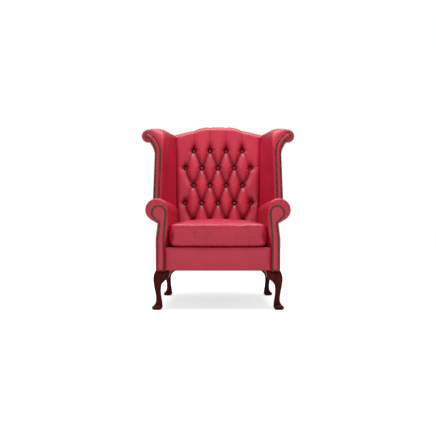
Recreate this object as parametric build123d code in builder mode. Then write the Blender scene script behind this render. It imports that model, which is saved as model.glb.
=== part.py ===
"""Scroll-wing armchair with a deep-buttoned back, scroll arms, a loose seat cushion and cabriole legs.

Millimetres. +Z is up, the chair faces -Y, and the origin lies on the floor under the middle of its box.
Left and right are as seen from the front: right pieces stand at +X, and left ones mirror them.
"""

import os
from math import acos, atan2, cos, degrees, hypot, radians, sin, tan

from build123d import *

os.makedirs("parts", exist_ok=True)

# Overall sizes
overall_height = 1124
overall_depth = 840
base_half_width = 340
leg_height = 213

# Frame timber, panels, padding and cover
rail_height = 112
timber = 30
panel_thickness = 10
stump_thickness = 30
front_padding = 8
edge_inset = 10
web_thickness = 2
deck_pad_thickness = 10
cloth_thickness = 2
clearance = 0.3
overrun = 20

# Rounded front edges: shares of the edge radius that lie behind the front and inside the outline
edge_shares = ((0, 0.9), (0.33, 0.27), (1, 0))

# Nails and facings
nail_diameter = 10.6
nail_height = 4
nail_pitch = 11.2
facing_thickness = 5
facing_margin = 5.2

# Heights and planes that the pieces share
seat_line = leg_height + rail_height + 2 * web_thickness + deck_pad_thickness
rail_top = leg_height + rail_height
front_y = -overall_depth / 2
facing_front_y = front_y + nail_height
arm_front_y = facing_front_y + facing_thickness
stump_front_y = arm_front_y + front_padding
stump_back_y = stump_front_y + stump_thickness
frame_outer_x = base_half_width - panel_thickness
frame_inner_x = frame_outer_x - timber
post_outer_x = frame_outer_x - panel_thickness
post_inner_x = post_outer_x - timber

# Front border under the cushion
border_setback = 14
border_thickness = 10
border_edge_radius = 7
front_post_width = 50
border_half_width = base_half_width - front_post_width
border_front_y = front_y + border_setback
rail_front_y = border_front_y + border_thickness

# Lean of the back: the outside face and the buttoned face
outside_rake = 9.23
inside_rake = 13
crest_thickness = 121
outside_ground_y = overall_depth / 2 - overall_height * tan(radians(outside_rake))
inside_ground_y = overall_depth / 2 - crest_thickness - overall_height * tan(radians(inside_rake))

# Arms: insets from the side of the base, rises from the seat line
roll_inset = 10
roll_rise = 204
roll_radius = 61
rear_roll_inset = 20
rear_roll_radius = 64
neck_inset = 10
neck_rise = 131
waist_rise = 41
arm_thickness = 70
arm_rear_thickness = 83
arm_inner_break_rise = 105
post_recess_length = 50
roll_edge_radius = 15
roll_outer_angle = 20
roll_inner_angle = 135
arm_rail_inset = 6
arm_rail_width = 40
arm_rail_drop = 33
arm_rail_height = 30
roll_x = base_half_width - roll_inset
roll_z = seat_line + roll_rise
rear_roll_x = base_half_width - rear_roll_inset
neck_x = base_half_width - neck_inset
neck_z = seat_line + neck_rise
waist_z = seat_line + waist_rise
arm_inner_x = base_half_width - arm_thickness
arm_rear_inner_x = base_half_width - arm_rear_thickness
arm_inner_break_z = seat_line + arm_inner_break_rise
arm_rail_x = frame_outer_x - arm_rail_inset
arm_rail_bottom = roll_z - arm_rail_drop

# Nail line on the arm facing, inside the outline of the arm
nail_inner_gap = 6
nail_outer_gap = 13
nail_bottom_gap = 1.5
nail_break_rise = 5
nail_loop_inset = 8.5
nail_loop_drop = 16
nail_loop_gap = 24.5
nail_neck_gap = 13
nail_neck_rise = 4
arm_nail_inner_x = border_half_width + nail_inner_gap
arm_nail_outer_x = base_half_width - nail_outer_gap
arm_nail_bottom = leg_height + nail_bottom_gap
arm_nail_break_z = waist_z + nail_break_rise
arm_nail_loop_x = roll_x - nail_loop_inset
arm_nail_loop_z = roll_z - nail_loop_drop
arm_nail_loop_radius = roll_radius - nail_loop_gap
arm_nail_neck_x = neck_x - nail_neck_gap
arm_nail_neck_z = neck_z + nail_neck_rise

# Wings at the front: a scroll beyond the base, and how far they stand before the back
wing_rake = 8
wing_reach = 246
wing_reach_height = 600
wing_foot_rise = 35
wing_overhang = 54
wing_foot_width = 53
wing_outer_draw = 7
wing_inner_draw = 8
wing_shoulder_drop = 126
wing_inner_top_drop = 81
scroll_overhang = 87
scroll_drop = 118
scroll_radius = 41
scroll_underside_angle = -100
wing_edge_radius = 13
wing_foot_z = roll_z + wing_foot_rise
wing_outer_x = base_half_width + wing_overhang
wing_inner_x = wing_outer_x - wing_foot_width
wing_shoulder_x = wing_outer_x - wing_outer_draw
wing_inner_top_x = wing_inner_x - wing_inner_draw
scroll_x = base_half_width + scroll_overhang
scroll_z = overall_height - scroll_drop
wing_shoulder_z = scroll_z - wing_shoulder_drop
wing_inner_top_z = scroll_z - wing_inner_top_drop

# Wings at the back, where they are drawn in to the posts
rear_wing_thickness = 61
rear_wing_inner_top_drop = 60
rear_wing_shoulder_drop = 44
rear_scroll_inset = 49
rear_scroll_drop = 95
rear_scroll_radius = 48
rear_scroll_underside_angle = -8
rear_wing_inner_x = frame_outer_x - rear_wing_thickness
rear_wing_inner_top_z = overall_height - rear_wing_inner_top_drop
rear_scroll_x = frame_outer_x - rear_scroll_inset
rear_scroll_z = overall_height - rear_scroll_drop
rear_wing_shoulder_z = rear_scroll_z - rear_wing_shoulder_drop

# Wing frame
wing_board_inset = 12
wing_board_thickness = 25
wing_rail_width = 24
wing_rail_height = 30
wing_rail_inset = 9
wing_rail_front_drop = 3
wing_rail_rear_drop = 11
wing_rail_front_x = scroll_x - wing_rail_inset
wing_rail_front_z = scroll_z - wing_rail_front_drop
wing_rail_rear_z = rear_scroll_z - wing_rail_rear_drop

# Wing facing: a band along the front that curls into the scroll
wing_facing_inset = 20
wing_facing_draw = 7
wing_facing_tuck = 8
wing_facing_top_drop = 106
wing_facing_bend_radius = 132.4
wing_facing_curl = 5
wing_nail_gauge = 15
wing_nail_rise = 23
wing_facing_foot_x = wing_outer_x - wing_facing_inset
wing_facing_top_x = wing_facing_foot_x - wing_facing_draw
wing_facing_foot_z = wing_foot_z - wing_facing_tuck
wing_facing_top_z = scroll_z - wing_facing_top_drop
wing_facing_end_x = scroll_x + wing_facing_curl
wing_nail_bottom_z = wing_foot_z + wing_nail_rise

# Back outline and its frame
crest_flat = 70
crest_shoulder_radius = 190
crest_shoulder_turn = 20
crest_corner_gap = 7
crest_fall = 44
crest_padding = 14
crest_edge_radius = 34
crest_rail_drop = 139
post_top_drop = 84
tack_rail_gap = 6
tack_rail_height = 40
crest_corner_x = rear_wing_inner_x - crest_corner_gap
crest_corner_z = overall_height - crest_fall
crest_rail_bottom = overall_height - crest_rail_drop
post_top_z = overall_height - post_top_drop
tack_rail_bottom = seat_line + tack_rail_gap

# Buttoning: columns and rows spread between the wings, the crest and the seat
button_columns = 4
button_rows = 5
button_side_gap = 57
top_button_drop = 167
bottom_button_rise = 156
button_diameter = 22
button_height = 9
pit_radius = 30
pit_depth = 30
pleat_half_width = 45
pleat_depth = 21
side_pleat_depth = 9
side_pleat_length = 80
button_pitch = 2 * (rear_wing_inner_x - button_side_gap) / button_columns
top_button_z = overall_height - top_button_drop
bottom_button_z = seat_line + bottom_button_rise
button_row_pitch = (top_button_z - bottom_button_z) / (button_rows - 1)

# Webbing
web_width = 50
seat_web_count = 5
cross_web_count = 5
back_web_count = 3
back_cross_web_count = 4

# Cushion
cushion_front_setback = 16
cushion_front_gap = 2
cushion_rear_gap = 3
cushion_back_gap = 10
cushion_band_height = 124
cushion_crown_height = 37
cushion_corner_radius = 26
cushion_side_draw = 3
cushion_cover_thickness = 6
cushion_edge_roll = 14
crown_flat = 64
crown_rise_shares = (0, 0.3, 0.65, 0.88, 1)
crown_inset_shares = (0, 0.055, 0.24, 0.58, 1)
cushion_front_half_width = arm_inner_x - cushion_front_gap
cushion_rear_half_width = arm_rear_inner_x - cushion_rear_gap
cushion_seam_z = seat_line + cushion_band_height
cushion_crown_z = cushion_seam_z + cushion_crown_height

# Zip in the back of the cushion cover
zip_side_gap = 54
zip_tape_width = 26
zip_tape_thickness = 1.2
zip_chain_width = 6
zip_chain_thickness = 1.6
zip_slider_length = 16
zip_slider_width = 11
zip_slider_thickness = 3.2
zip_gap = 0.15
zip_pull_length = 24
zip_pull_width = 7
zip_pull_thickness = 1.2
zip_length = 2 * (cushion_rear_half_width - zip_side_gap)

# Legs: shares of the leg's height, and of the width of its top block
leg_block = 82
leg_setback = 9
leg_shares = (
    (1, 0, 1, 0.1),
    (0.9, 0.12, 1.04, 0.25),
    (0.81, 0.16, 1.01, 0.3),
    (0.735, 0.16, 0.78, 0.36),
    (0.66, 0.13, 0.56, 0.4),
    (0.56, 0.09, 0.44, 0.42),
    (0.43, 0.02, 0.365, 0.42),
    (0.29, -0.02, 0.36, 0.42),
    (0.2, -0.01, 0.41, 0.42),
    (0.12, 0.09, 0.53, 0.42),
    (0.055, 0.25, 0.7, 0.42),
    (0, 0.17, 0.52, 0.42),
)
bolt_inset_x = 60
bolt_inset_y = 58
bolt_radius = 4
bolt_hole_radius = 4.05
bolt_depth = 34
nut_across = 14
nut_height = 7
corner_block_leg = 86
corner_block_height = 40


def raked_plane(ground_y, rake):
    """A plane that meets the floor at ground_y and leans back; its normal faces the front."""
    return Plane(
        origin=(0, ground_y, 0),
        x_dir=(1, 0, 0),
        z_dir=(0, -cos(radians(rake)), sin(radians(rake))),
    )


def touch(point, centre, radius, turn):
    """Where a straight line from the point touches the circle, on the side that turn names."""
    away = (point[0] - centre[0], point[1] - centre[1])
    angle = atan2(away[1], away[0]) + turn * acos(radius / hypot(*away))
    return (centre[0] + radius * cos(angle), centre[1] + radius * sin(angle))


def on_circle(centre, radius, degrees):
    """The point of a circle at an angle."""
    return (centre[0] + radius * cos(radians(degrees)), centre[1] + radius * sin(radians(degrees)))


def mixed(first, last, share):
    """A value part of the way from first to last."""
    return first + (last - first) * share


outside_back_plane = raked_plane(outside_ground_y, outside_rake)
inside_back_plane = raked_plane(inside_ground_y, inside_rake)
panel_plane = outside_back_plane.offset(panel_thickness)
frame_front_plane = panel_plane.offset(timber)
cross_web_plane = frame_front_plane.offset(web_thickness)
pad_rear_plane = cross_web_plane.offset(web_thickness)
wing_ground_y = (
    inside_ground_y
    - wing_reach
    + wing_reach_height * (tan(radians(inside_rake)) - tan(radians(wing_rake)))
)
wing_front_plane = raked_plane(wing_ground_y, wing_rake)


def on_plane(plane, places):
    """Locations of places given in a plane's own two directions."""
    return [plane.location * Location((x, y, 0)) for x, y in places]


def mirrored(piece):
    """The left piece that matches a right one."""
    with BuildPart() as other:
        mirror(piece.part, about=Plane.YZ)
    return other


def finish(piece, name):
    """Name a piece and write its file."""
    piece.part.label = name
    export_step(piece.part, "parts/" + name + ".step")


def finish_pair(right_piece, name):
    """Write a right piece and its mirror image as two pieces."""
    finish(right_piece, name + "_right")
    finish(mirrored(right_piece), name + "_left")


# Arm: outline of one cross-section in a plane square to Y
def arm_section(y, inset, taper):
    """Section of the right arm; taper runs from 0 at the front to 1 at the back."""
    radius = mixed(roll_radius, rear_roll_radius, taper) - inset
    centre = (mixed(roll_x, rear_roll_x, taper), roll_z)
    wall_x = mixed(arm_inner_x, arm_rear_inner_x, taper) + inset
    neck = (neck_x - inset, neck_z + inset / 2)
    under = touch(neck, centre, radius, 1)
    top = (centre[0], centre[1] + radius)
    inner = (centre[0] - radius, centre[1])
    with BuildSketch(Plane.XZ.offset(-y)) as section:
        with BuildLine():
            Polyline(
                (wall_x, leg_height),
                (base_half_width - inset, leg_height),
                (base_half_width - inset, waist_z),
                neck,
                under,
            )
            ThreePointArc(under, on_circle(centre, radius, roll_outer_angle), top)
            ThreePointArc(top, on_circle(centre, radius, roll_inner_angle), inner)
            Line(inner, (wall_x, leg_height))
        make_face()
    return section.sketch


def post_recess(y, inset):
    """Triangle that the front of the inner wall loses beside the cushion."""
    with BuildSketch(Plane.XZ.offset(-y)) as triangle:
        with BuildLine():
            Polyline(
                (arm_inner_x - overrun, seat_line),
                (border_half_width + inset, seat_line),
                (arm_inner_x + inset, arm_inner_break_z),
                (arm_inner_x - overrun, arm_inner_break_z),
                close=True,
            )
        make_face()
    return triangle.sketch


arm_length = overall_depth - (arm_front_y - front_y)
arm_sections = [
    arm_section(
        arm_front_y + step_share * roll_edge_radius,
        inset_share * roll_edge_radius,
        step_share * roll_edge_radius / arm_length,
    )
    for step_share, inset_share in edge_shares
]
arm_sections.append(arm_section(overall_depth / 2, 0, 1))

with BuildPart() as arm_envelope:
    loft(arm_sections, ruled=True)
    split(bisect_by=outside_back_plane, keep=Keep.TOP)
    recess_tip = Vertex(arm_inner_x - overrun, arm_front_y + post_recess_length, seat_line)
    loft([post_recess(arm_front_y, 0), recess_tip], mode=Mode.SUBTRACT)
    with BuildSketch(Plane.XY.offset(leg_height)):
        with Locations((border_half_width, arm_front_y)):
            Rectangle(base_half_width, overall_depth, align=(Align.MAX, Align.MIN))
    extrude(amount=seat_line - leg_height, mode=Mode.SUBTRACT)


# Wing: outline of one cross-section in a raked plane
def wing_section(plane, rake, inset, rear):
    """Section of the right wing. rear is 0 at the front scroll and 1 against the back."""

    def at(x, z):
        return (x, z / cos(radians(rake)))

    radius = mixed(scroll_radius, rear_scroll_radius, rear) - inset
    centre = at(mixed(scroll_x, rear_scroll_x, rear), mixed(scroll_z, rear_scroll_z, rear))
    low_angle = mixed(scroll_underside_angle, rear_scroll_underside_angle, rear)
    foot_inner = at(mixed(wing_inner_x, rear_wing_inner_x, rear) + inset, wing_foot_z)
    foot_outer = at(mixed(wing_outer_x, frame_outer_x, rear) - inset, wing_foot_z)
    shoulder = at(
        mixed(wing_shoulder_x, frame_outer_x, rear) - inset,
        mixed(wing_shoulder_z, rear_wing_shoulder_z, rear),
    )
    under = on_circle(centre, radius, low_angle)
    side = on_circle(centre, radius, (low_angle + 90) / 2)
    crest = on_circle(centre, radius, 90)
    inner_top = at(
        mixed(wing_inner_top_x, rear_wing_inner_x, rear) + inset,
        mixed(wing_inner_top_z, rear_wing_inner_top_z, rear) - inset / 2,
    )
    with BuildSketch(plane) as section:
        with BuildLine():
            Polyline(foot_inner, foot_outer, shoulder)
            TangentArc(shoulder, under, tangent=(0, 1))
            ThreePointArc(under, on_circle(centre, radius, (3 * low_angle + 90) / 4), side)
            ThreePointArc(side, on_circle(centre, radius, (low_angle + 3 * 90) / 4), crest)
            TangentArc(crest, inner_top, tangent=(0, 1), tangent_from_first=False)
            Line(inner_top, foot_inner)
        make_face()
    return section.sketch


wing_sections = [
    wing_section(
        wing_front_plane.offset(-step_share * wing_edge_radius),
        wing_rake,
        inset_share * wing_edge_radius,
        0,
    )
    for step_share, inset_share in edge_shares
]
wing_sections.append(wing_section(inside_back_plane, inside_rake, 0, 1))
wing_sections.append(wing_section(outside_back_plane, outside_rake, 0, 1))

with BuildPart() as wing_envelope:
    loft(wing_sections, ruled=True)


# Back: outline seen from the front, with the hump of the crest
def back_outline(half_width, bottom, drop):
    """The back between two sides, from a bottom edge to the crest lowered by drop."""
    top = overall_height - drop
    with BuildSketch(Plane.XZ) as outline:
        with BuildLine():
            flat = Line((0, top), (crest_flat, top))
            hump = JernArc(flat @ 1, (1, 0), crest_shoulder_radius, -crest_shoulder_turn)
            sweep_down = TangentArc(
                hump @ 1, (crest_corner_x, crest_corner_z - drop), tangent=hump % 1
            )
            side = Line(sweep_down @ 1, (half_width, (sweep_down @ 1).Y))
            Polyline(side @ 1, (half_width, bottom), (0, bottom), (0, top))
        make_face()
        mirror(about=Plane.YZ)
    return outline.sketch


# Front and side rails of the seat frame
with BuildPart() as frame_front_rail:
    with BuildSketch(Plane.XY.offset(leg_height)):
        with Locations((0, rail_front_y + timber / 2)):
            Rectangle(2 * frame_inner_x, timber)
    extrude(amount=rail_height)
finish(frame_front_rail, "frame_front_rail")

with BuildPart() as frame_side_rail:
    with BuildSketch(Plane.XY.offset(leg_height)):
        with Locations(((frame_inner_x + frame_outer_x) / 2, stump_back_y)):
            Rectangle(timber, overall_depth, align=(Align.CENTER, Align.MIN))
    extrude(amount=rail_height + web_thickness)
    split(bisect_by=frame_front_plane, keep=Keep.TOP)
finish_pair(frame_side_rail, "frame_side_rail")


def back_board(outline):
    """A board of the back frame: an outline cut through the slope of the frame."""
    with BuildPart() as board:
        extrude(outline, amount=overall_depth, both=True)
        split(bisect_by=panel_plane, keep=Keep.TOP)
        split(bisect_by=frame_front_plane, keep=Keep.BOTTOM)
    return board


with BuildSketch(Plane.XZ) as back_rail_outline:
    with Locations((0, leg_height)):
        Rectangle(2 * post_inner_x, rail_height, align=(Align.CENTER, Align.MIN))
frame_back_rail = back_board(back_rail_outline.sketch)
finish(frame_back_rail, "frame_back_rail")

with BuildSketch(Plane.XZ) as tack_rail_outline:
    with Locations((0, tack_rail_bottom)):
        Rectangle(2 * post_inner_x, tack_rail_height, align=(Align.CENTER, Align.MIN))
frame_back_tack_rail = back_board(tack_rail_outline.sketch)
finish(frame_back_tack_rail, "frame_back_tack_rail")

with BuildSketch(Plane.XZ) as post_outline:
    with Locations((post_inner_x, leg_height)):
        Rectangle(timber, post_top_z - leg_height, align=(Align.MIN, Align.MIN))
frame_back_post = back_board(post_outline.sketch)
finish_pair(frame_back_post, "frame_back_post")

frame_crest_rail = back_board(back_outline(post_inner_x, crest_rail_bottom, crest_padding))
finish(frame_crest_rail, "frame_crest_rail")

# Arm frame: the front stump follows the scroll, and a rail runs back through the roll
with BuildPart() as frame_arm_stump:
    extrude(arm_section(stump_front_y, edge_inset, 0), amount=-stump_thickness)
    extrude(post_recess(stump_front_y, edge_inset), amount=-stump_thickness, mode=Mode.SUBTRACT)
    with BuildSketch(Plane.XY.offset(leg_height)):
        with Locations((frame_inner_x, stump_front_y)):
            Rectangle(base_half_width, stump_thickness, align=(Align.MAX, Align.MIN))
    extrude(amount=seat_line - leg_height, mode=Mode.SUBTRACT)
finish_pair(frame_arm_stump, "frame_arm_stump")

with BuildPart() as frame_arm_rail:
    with BuildSketch(Plane.XY.offset(arm_rail_bottom)):
        with Locations((arm_rail_x, stump_back_y)):
            Rectangle(arm_rail_width, overall_depth, align=(Align.MIN, Align.MIN))
    extrude(amount=arm_rail_height)
    split(bisect_by=panel_plane, keep=Keep.TOP)
finish_pair(frame_arm_rail, "frame_arm_rail")

# Wing frame: a scroll-shaped board on the arm rail, and a rail back to the post
wing_board_plane = wing_front_plane.offset(-front_padding)
wing_board_back_plane = wing_board_plane.offset(-wing_board_thickness)
with BuildPart() as frame_wing_board:
    extrude(
        wing_section(wing_board_plane, wing_rake, wing_board_inset, 0),
        amount=-wing_board_thickness,
    )
    with BuildSketch(Plane.XY.offset(arm_rail_bottom + arm_rail_height)):
        with Locations(((wing_inner_x + wing_outer_x) / 2, wing_ground_y)):
            Rectangle(
                wing_outer_x - wing_inner_x - 2 * wing_board_inset,
                overall_depth,
                align=(Align.CENTER, Align.MIN),
            )
    extrude(amount=wing_foot_z + overrun - arm_rail_bottom - arm_rail_height)
    split(bisect_by=wing_board_plane, keep=Keep.BOTTOM)
    split(bisect_by=wing_board_back_plane, keep=Keep.TOP)
finish_pair(frame_wing_board, "frame_wing_board")

with BuildPart() as frame_wing_rail:
    with BuildSketch(wing_board_back_plane):
        with Locations((wing_rail_front_x, wing_rail_front_z / cos(radians(wing_rake)))):
            Rectangle(wing_rail_width, wing_rail_height)
    for plane, rake in ((inside_back_plane, inside_rake), (frame_front_plane, outside_rake)):
        with BuildSketch(plane):
            with Locations((post_inner_x + timber / 2, wing_rail_rear_z / cos(radians(rake)))):
                Rectangle(wing_rail_width, wing_rail_height)
    loft(ruled=True)
finish_pair(frame_wing_rail, "frame_wing_rail")

# Corner blocks and leg bolts
front_leg_y = border_front_y + leg_setback
rear_leg_y = outside_ground_y + leg_height * tan(radians(outside_rake)) - leg_setback
bolt_x = base_half_width - bolt_inset_x
front_bolt_y = front_leg_y + bolt_inset_y
rear_bolt_y = rear_leg_y - bolt_inset_y
bolt_places = [(x, y) for x in (-bolt_x, bolt_x) for y in (front_bolt_y, rear_bolt_y)]
block_top = leg_height + corner_block_height

with BuildPart() as corner_blocks:
    with BuildSketch(Plane.XY.offset(leg_height)):
        with BuildLine():
            Polyline(
                (frame_inner_x, rail_front_y + timber),
                (frame_inner_x, rail_front_y + timber + corner_block_leg),
                (frame_inner_x - corner_block_leg, rail_front_y + timber),
                close=True,
            )
        make_face()
        with BuildLine():
            Polyline(
                (frame_inner_x, rear_leg_y),
                (frame_inner_x, rear_leg_y - leg_block - timber),
                (frame_inner_x - leg_block - timber, rear_leg_y),
                close=True,
            )
        make_face()
        mirror(about=Plane.YZ)
    extrude(amount=corner_block_height)
    split(bisect_by=frame_front_plane, keep=Keep.TOP)
    with BuildSketch(Plane.XY.offset(leg_height)):
        with Locations(bolt_places):
            Circle(bolt_hole_radius)
    extrude(amount=corner_block_height, mode=Mode.SUBTRACT)
finish(corner_blocks, "corner_blocks")

with BuildPart() as leg_bolts:
    with BuildSketch(Plane.XY.offset(leg_height - bolt_depth)):
        with Locations(bolt_places):
            Circle(bolt_radius)
    extrude(amount=bolt_depth + corner_block_height)
    with BuildSketch(Plane.XY.offset(block_top)):
        with Locations(bolt_places):
            RegularPolygon(nut_across / 2, 6, major_radius=False)
    extrude(amount=nut_height)
finish(leg_bolts, "leg_bolts")


# Cabriole leg: rounded squares stacked along an S that swings out over the corner
def cabriole_leg(x_side, y_side, corner_y):
    """One leg under the corner at corner_y; the sides are 1 or -1 and point outwards."""
    sections = []
    for height_share, out_share, width_share, corner_share in leg_shares:
        width = width_share * leg_block
        reach = out_share * leg_block - width / 2
        place = (x_side * (base_half_width + reach), corner_y + y_side * reach)
        with BuildSketch(Plane.XY.offset(height_share * leg_height)) as section:
            with Locations(place):
                RectangleRounded(width, width, corner_share * width)
        sections.append(section.sketch)
    with BuildPart() as leg:
        loft(sections)
        with BuildSketch(Plane.XY.offset(leg_height - bolt_depth)):
            with Locations(bolt_places):
                Circle(bolt_hole_radius)
        extrude(amount=bolt_depth, mode=Mode.SUBTRACT)
    return leg


leg_front_right = cabriole_leg(1, -1, front_leg_y)
leg_rear_right = cabriole_leg(1, 1, rear_leg_y)
finish_pair(leg_front_right, "leg_front")
finish_pair(leg_rear_right, "leg_rear")

# Outside panels
with BuildPart() as side_panel:
    with BuildSketch(Plane.XZ.offset(-stump_back_y)):
        with BuildLine():
            Polyline(
                (frame_outer_x, leg_height),
                (base_half_width, leg_height),
                (base_half_width, waist_z),
                (neck_x, neck_z),
                (neck_x - panel_thickness, neck_z),
                (frame_outer_x, waist_z),
                close=True,
            )
        make_face()
    extrude(amount=-overall_depth)
    split(bisect_by=outside_back_plane, keep=Keep.TOP)

with BuildPart() as outside_back_panel:
    extrude(back_outline(frame_outer_x, leg_height, 0), amount=overall_depth, both=True)
    with BuildSketch(Plane.XZ):
        with Locations((frame_outer_x, crest_corner_z)):
            Rectangle(
                2 * (frame_outer_x - rear_scroll_x),
                2 * (crest_corner_z - rear_scroll_z),
            )
        with Locations((rear_scroll_x, rear_scroll_z)):
            Circle(rear_scroll_radius, mode=Mode.SUBTRACT)
        mirror(about=Plane.YZ)
    extrude(amount=overall_depth, both=True, mode=Mode.SUBTRACT)
    split(bisect_by=outside_back_plane, keep=Keep.TOP)
    split(bisect_by=panel_plane, keep=Keep.BOTTOM)

with BuildPart() as side_panel_trimmed:
    add(side_panel.part)
    add(outside_back_panel.part, mode=Mode.SUBTRACT)
finish_pair(side_panel_trimmed, "side_panel")
finish(outside_back_panel, "outside_back_panel")


def wing_panel_section(plane, rake, rear):
    """Strip of the wing's outer wall, one panel thick."""
    outer_foot = mixed(wing_outer_x, frame_outer_x, rear)
    outer_top = mixed(wing_shoulder_x, frame_outer_x, rear)
    foot_z = wing_foot_z / cos(radians(rake))
    top_z = mixed(wing_shoulder_z, rear_wing_shoulder_z, rear) / cos(radians(rake))
    with BuildSketch(plane) as section:
        with BuildLine():
            Polyline(
                (outer_foot - panel_thickness, foot_z),
                (outer_foot + overrun, foot_z),
                (outer_top + overrun, top_z),
                (outer_top - panel_thickness, top_z),
                close=True,
            )
        make_face()
    return section.sketch


with BuildPart() as wing_outside_panel:
    loft(
        [
            wing_panel_section(wing_front_plane, wing_rake, 0),
            wing_panel_section(inside_back_plane, inside_rake, 1),
            wing_panel_section(outside_back_plane, outside_rake, 1),
        ],
        ruled=True,
    )
    add(wing_envelope.part, mode=Mode.INTERSECT)
    split(bisect_by=wing_board_back_plane, keep=Keep.BOTTOM)
    split(bisect_by=panel_plane, keep=Keep.TOP)
    add(arm_envelope.part, mode=Mode.SUBTRACT)
finish_pair(wing_outside_panel, "wing_outside_panel")

# Back webbing: upright straps on the rails, cross straps over them on the posts
with BuildPart() as back_webbing:
    strap_bottom = (tack_rail_bottom + tack_rail_height / 4) / cos(radians(outside_rake))
    strap_top = (crest_rail_bottom + tack_rail_height) / cos(radians(outside_rake))
    strap_pitch = 2 * post_inner_x / (back_web_count + 1)
    with BuildSketch(frame_front_plane):
        with Locations((0, strap_bottom)):
            with GridLocations(strap_pitch, 0, back_web_count, 1):
                Rectangle(web_width, strap_top - strap_bottom, align=(Align.CENTER, Align.MIN))
    extrude(amount=web_thickness)
finish(back_webbing, "back_webbing")

with BuildPart() as back_cross_webbing:
    with BuildSketch(cross_web_plane):
        with Locations((0, (strap_bottom + strap_top) / 2)):
            with GridLocations(
                0, (strap_top - strap_bottom) / back_cross_web_count, 1, back_cross_web_count
            ):
                Rectangle(post_inner_x + post_outer_x, web_width)
    extrude(amount=web_thickness)
finish(back_cross_webbing, "back_cross_webbing")

# Arm padding over its frame, hollow behind the inner wall
with BuildPart() as arm_pad:
    add(arm_envelope.part)
    with BuildSketch(Plane.XY.offset(leg_height - overrun)):
        with Locations((frame_inner_x, stump_back_y)):
            Rectangle(base_half_width, overall_depth, align=(Align.MIN, Align.MIN))
    extrude(amount=neck_z - leg_height + overrun, mode=Mode.SUBTRACT)
    with BuildSketch(Plane.XY.offset(leg_height - overrun)):
        with Locations((frame_inner_x, stump_front_y)):
            Rectangle(base_half_width, overall_depth, align=(Align.MAX, Align.MIN))
    extrude(amount=seat_line - leg_height + overrun, mode=Mode.SUBTRACT)
    add(frame_arm_stump.part, mode=Mode.SUBTRACT)
    add(frame_arm_rail.part, mode=Mode.SUBTRACT)
    add(frame_back_post.part, mode=Mode.SUBTRACT)
    add(frame_wing_board.part, mode=Mode.SUBTRACT)
    add(frame_back_tack_rail.part, mode=Mode.SUBTRACT)
    add(back_cross_webbing.part, mode=Mode.SUBTRACT)
    add(outside_back_panel.part, mode=Mode.SUBTRACT)
finish_pair(arm_pad, "arm_pad")

# Wing padding over its frame, standing on the arm roll
with BuildPart() as wing_pad:
    add(wing_envelope.part)
    split(bisect_by=panel_plane, keep=Keep.TOP)
    add(arm_envelope.part, mode=Mode.SUBTRACT)
    add(wing_outside_panel.part, mode=Mode.SUBTRACT)
    add(frame_wing_board.part, mode=Mode.SUBTRACT)
    add(frame_wing_rail.part, mode=Mode.SUBTRACT)
    add(frame_back_post.part, mode=Mode.SUBTRACT)
    add(frame_crest_rail.part, mode=Mode.SUBTRACT)
    add(back_cross_webbing.part, mode=Mode.SUBTRACT)
finish_pair(wing_pad, "wing_pad")

# Deep-buttoned back: pleats run from pit to pit along the diagonals
inside_scale = 1 / cos(radians(inside_rake))
button_places = []
for row in range(button_rows):
    row_columns = button_columns + row % 2
    for column in range(row_columns):
        button_places.append(
            (
                (column - (row_columns - 1) / 2) * button_pitch,
                (top_button_z - row * button_row_pitch) * inside_scale,
            )
        )

edge_reach = button_columns * button_pitch / 2
pleat_lines = []
for place_x, place_y in button_places:
    for lean in (-1, 1):
        start_x, start_y = place_x, place_y
        before_x = start_x - lean * button_pitch / 2
        before_y = start_y + button_row_pitch * inside_scale
        is_first = abs(before_x) > edge_reach or before_y > (top_button_z + clearance) * inside_scale
        end_x, end_y = start_x, start_y
        while (
            abs(end_x + lean * button_pitch / 2) <= edge_reach
            and end_y - button_row_pitch * inside_scale >= (bottom_button_z - clearance) * inside_scale
        ):
            end_x += lean * button_pitch / 2
            end_y -= button_row_pitch * inside_scale
        if is_first and end_y < start_y:
            pleat_lines.append(((start_x, start_y), (end_x, end_y), pleat_depth))


def pleat_cutter(start, end, depth):
    """A long cutter whose two flanks are arcs, so that the leather swells on both sides of a fold."""
    first = inside_back_plane.from_local_coords(Vector(*start, 0))
    last = inside_back_plane.from_local_coords(Vector(*end, 0))
    run = last - first
    across = run.cross(inside_back_plane.z_dir).normalized()
    section_plane = Plane(origin=first, x_dir=across, z_dir=run.normalized())
    upright = inside_back_plane.z_dir.dot(section_plane.y_dir)
    with BuildPart() as cutter:
        with BuildSketch(section_plane):
            with BuildLine():
                left_flank = TangentArc(
                    (-pleat_half_width, 0), (0, -depth * upright), tangent=(1, 0)
                )
                right_flank = TangentArc(
                    (pleat_half_width, 0), (0, -depth * upright), tangent=(-1, 0)
                )
                Polyline(
                    left_flank @ 0,
                    (-pleat_half_width, overrun * upright),
                    (pleat_half_width, overrun * upright),
                    right_flank @ 0,
                )
            make_face()
        extrude(amount=run.length)
    return cutter.part


top_pleats = [
    ((x, y), (x, overall_height * inside_scale), side_pleat_depth)
    for x, y in button_places[:button_columns]
]
side_pleats = [
    ((x, y), (x + side_pleat_length * (1 if x > 0 else -1), y), side_pleat_depth)
    for x, y in button_places
    if abs(x) > edge_reach - clearance
]

with BuildPart() as frame_zone:
    extrude(
        back_outline(base_half_width, seat_line - overrun, crest_padding),
        amount=overall_depth,
        both=True,
    )
    split(bisect_by=panel_plane, keep=Keep.TOP)
    split(bisect_by=pad_rear_plane, keep=Keep.BOTTOM)

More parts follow.
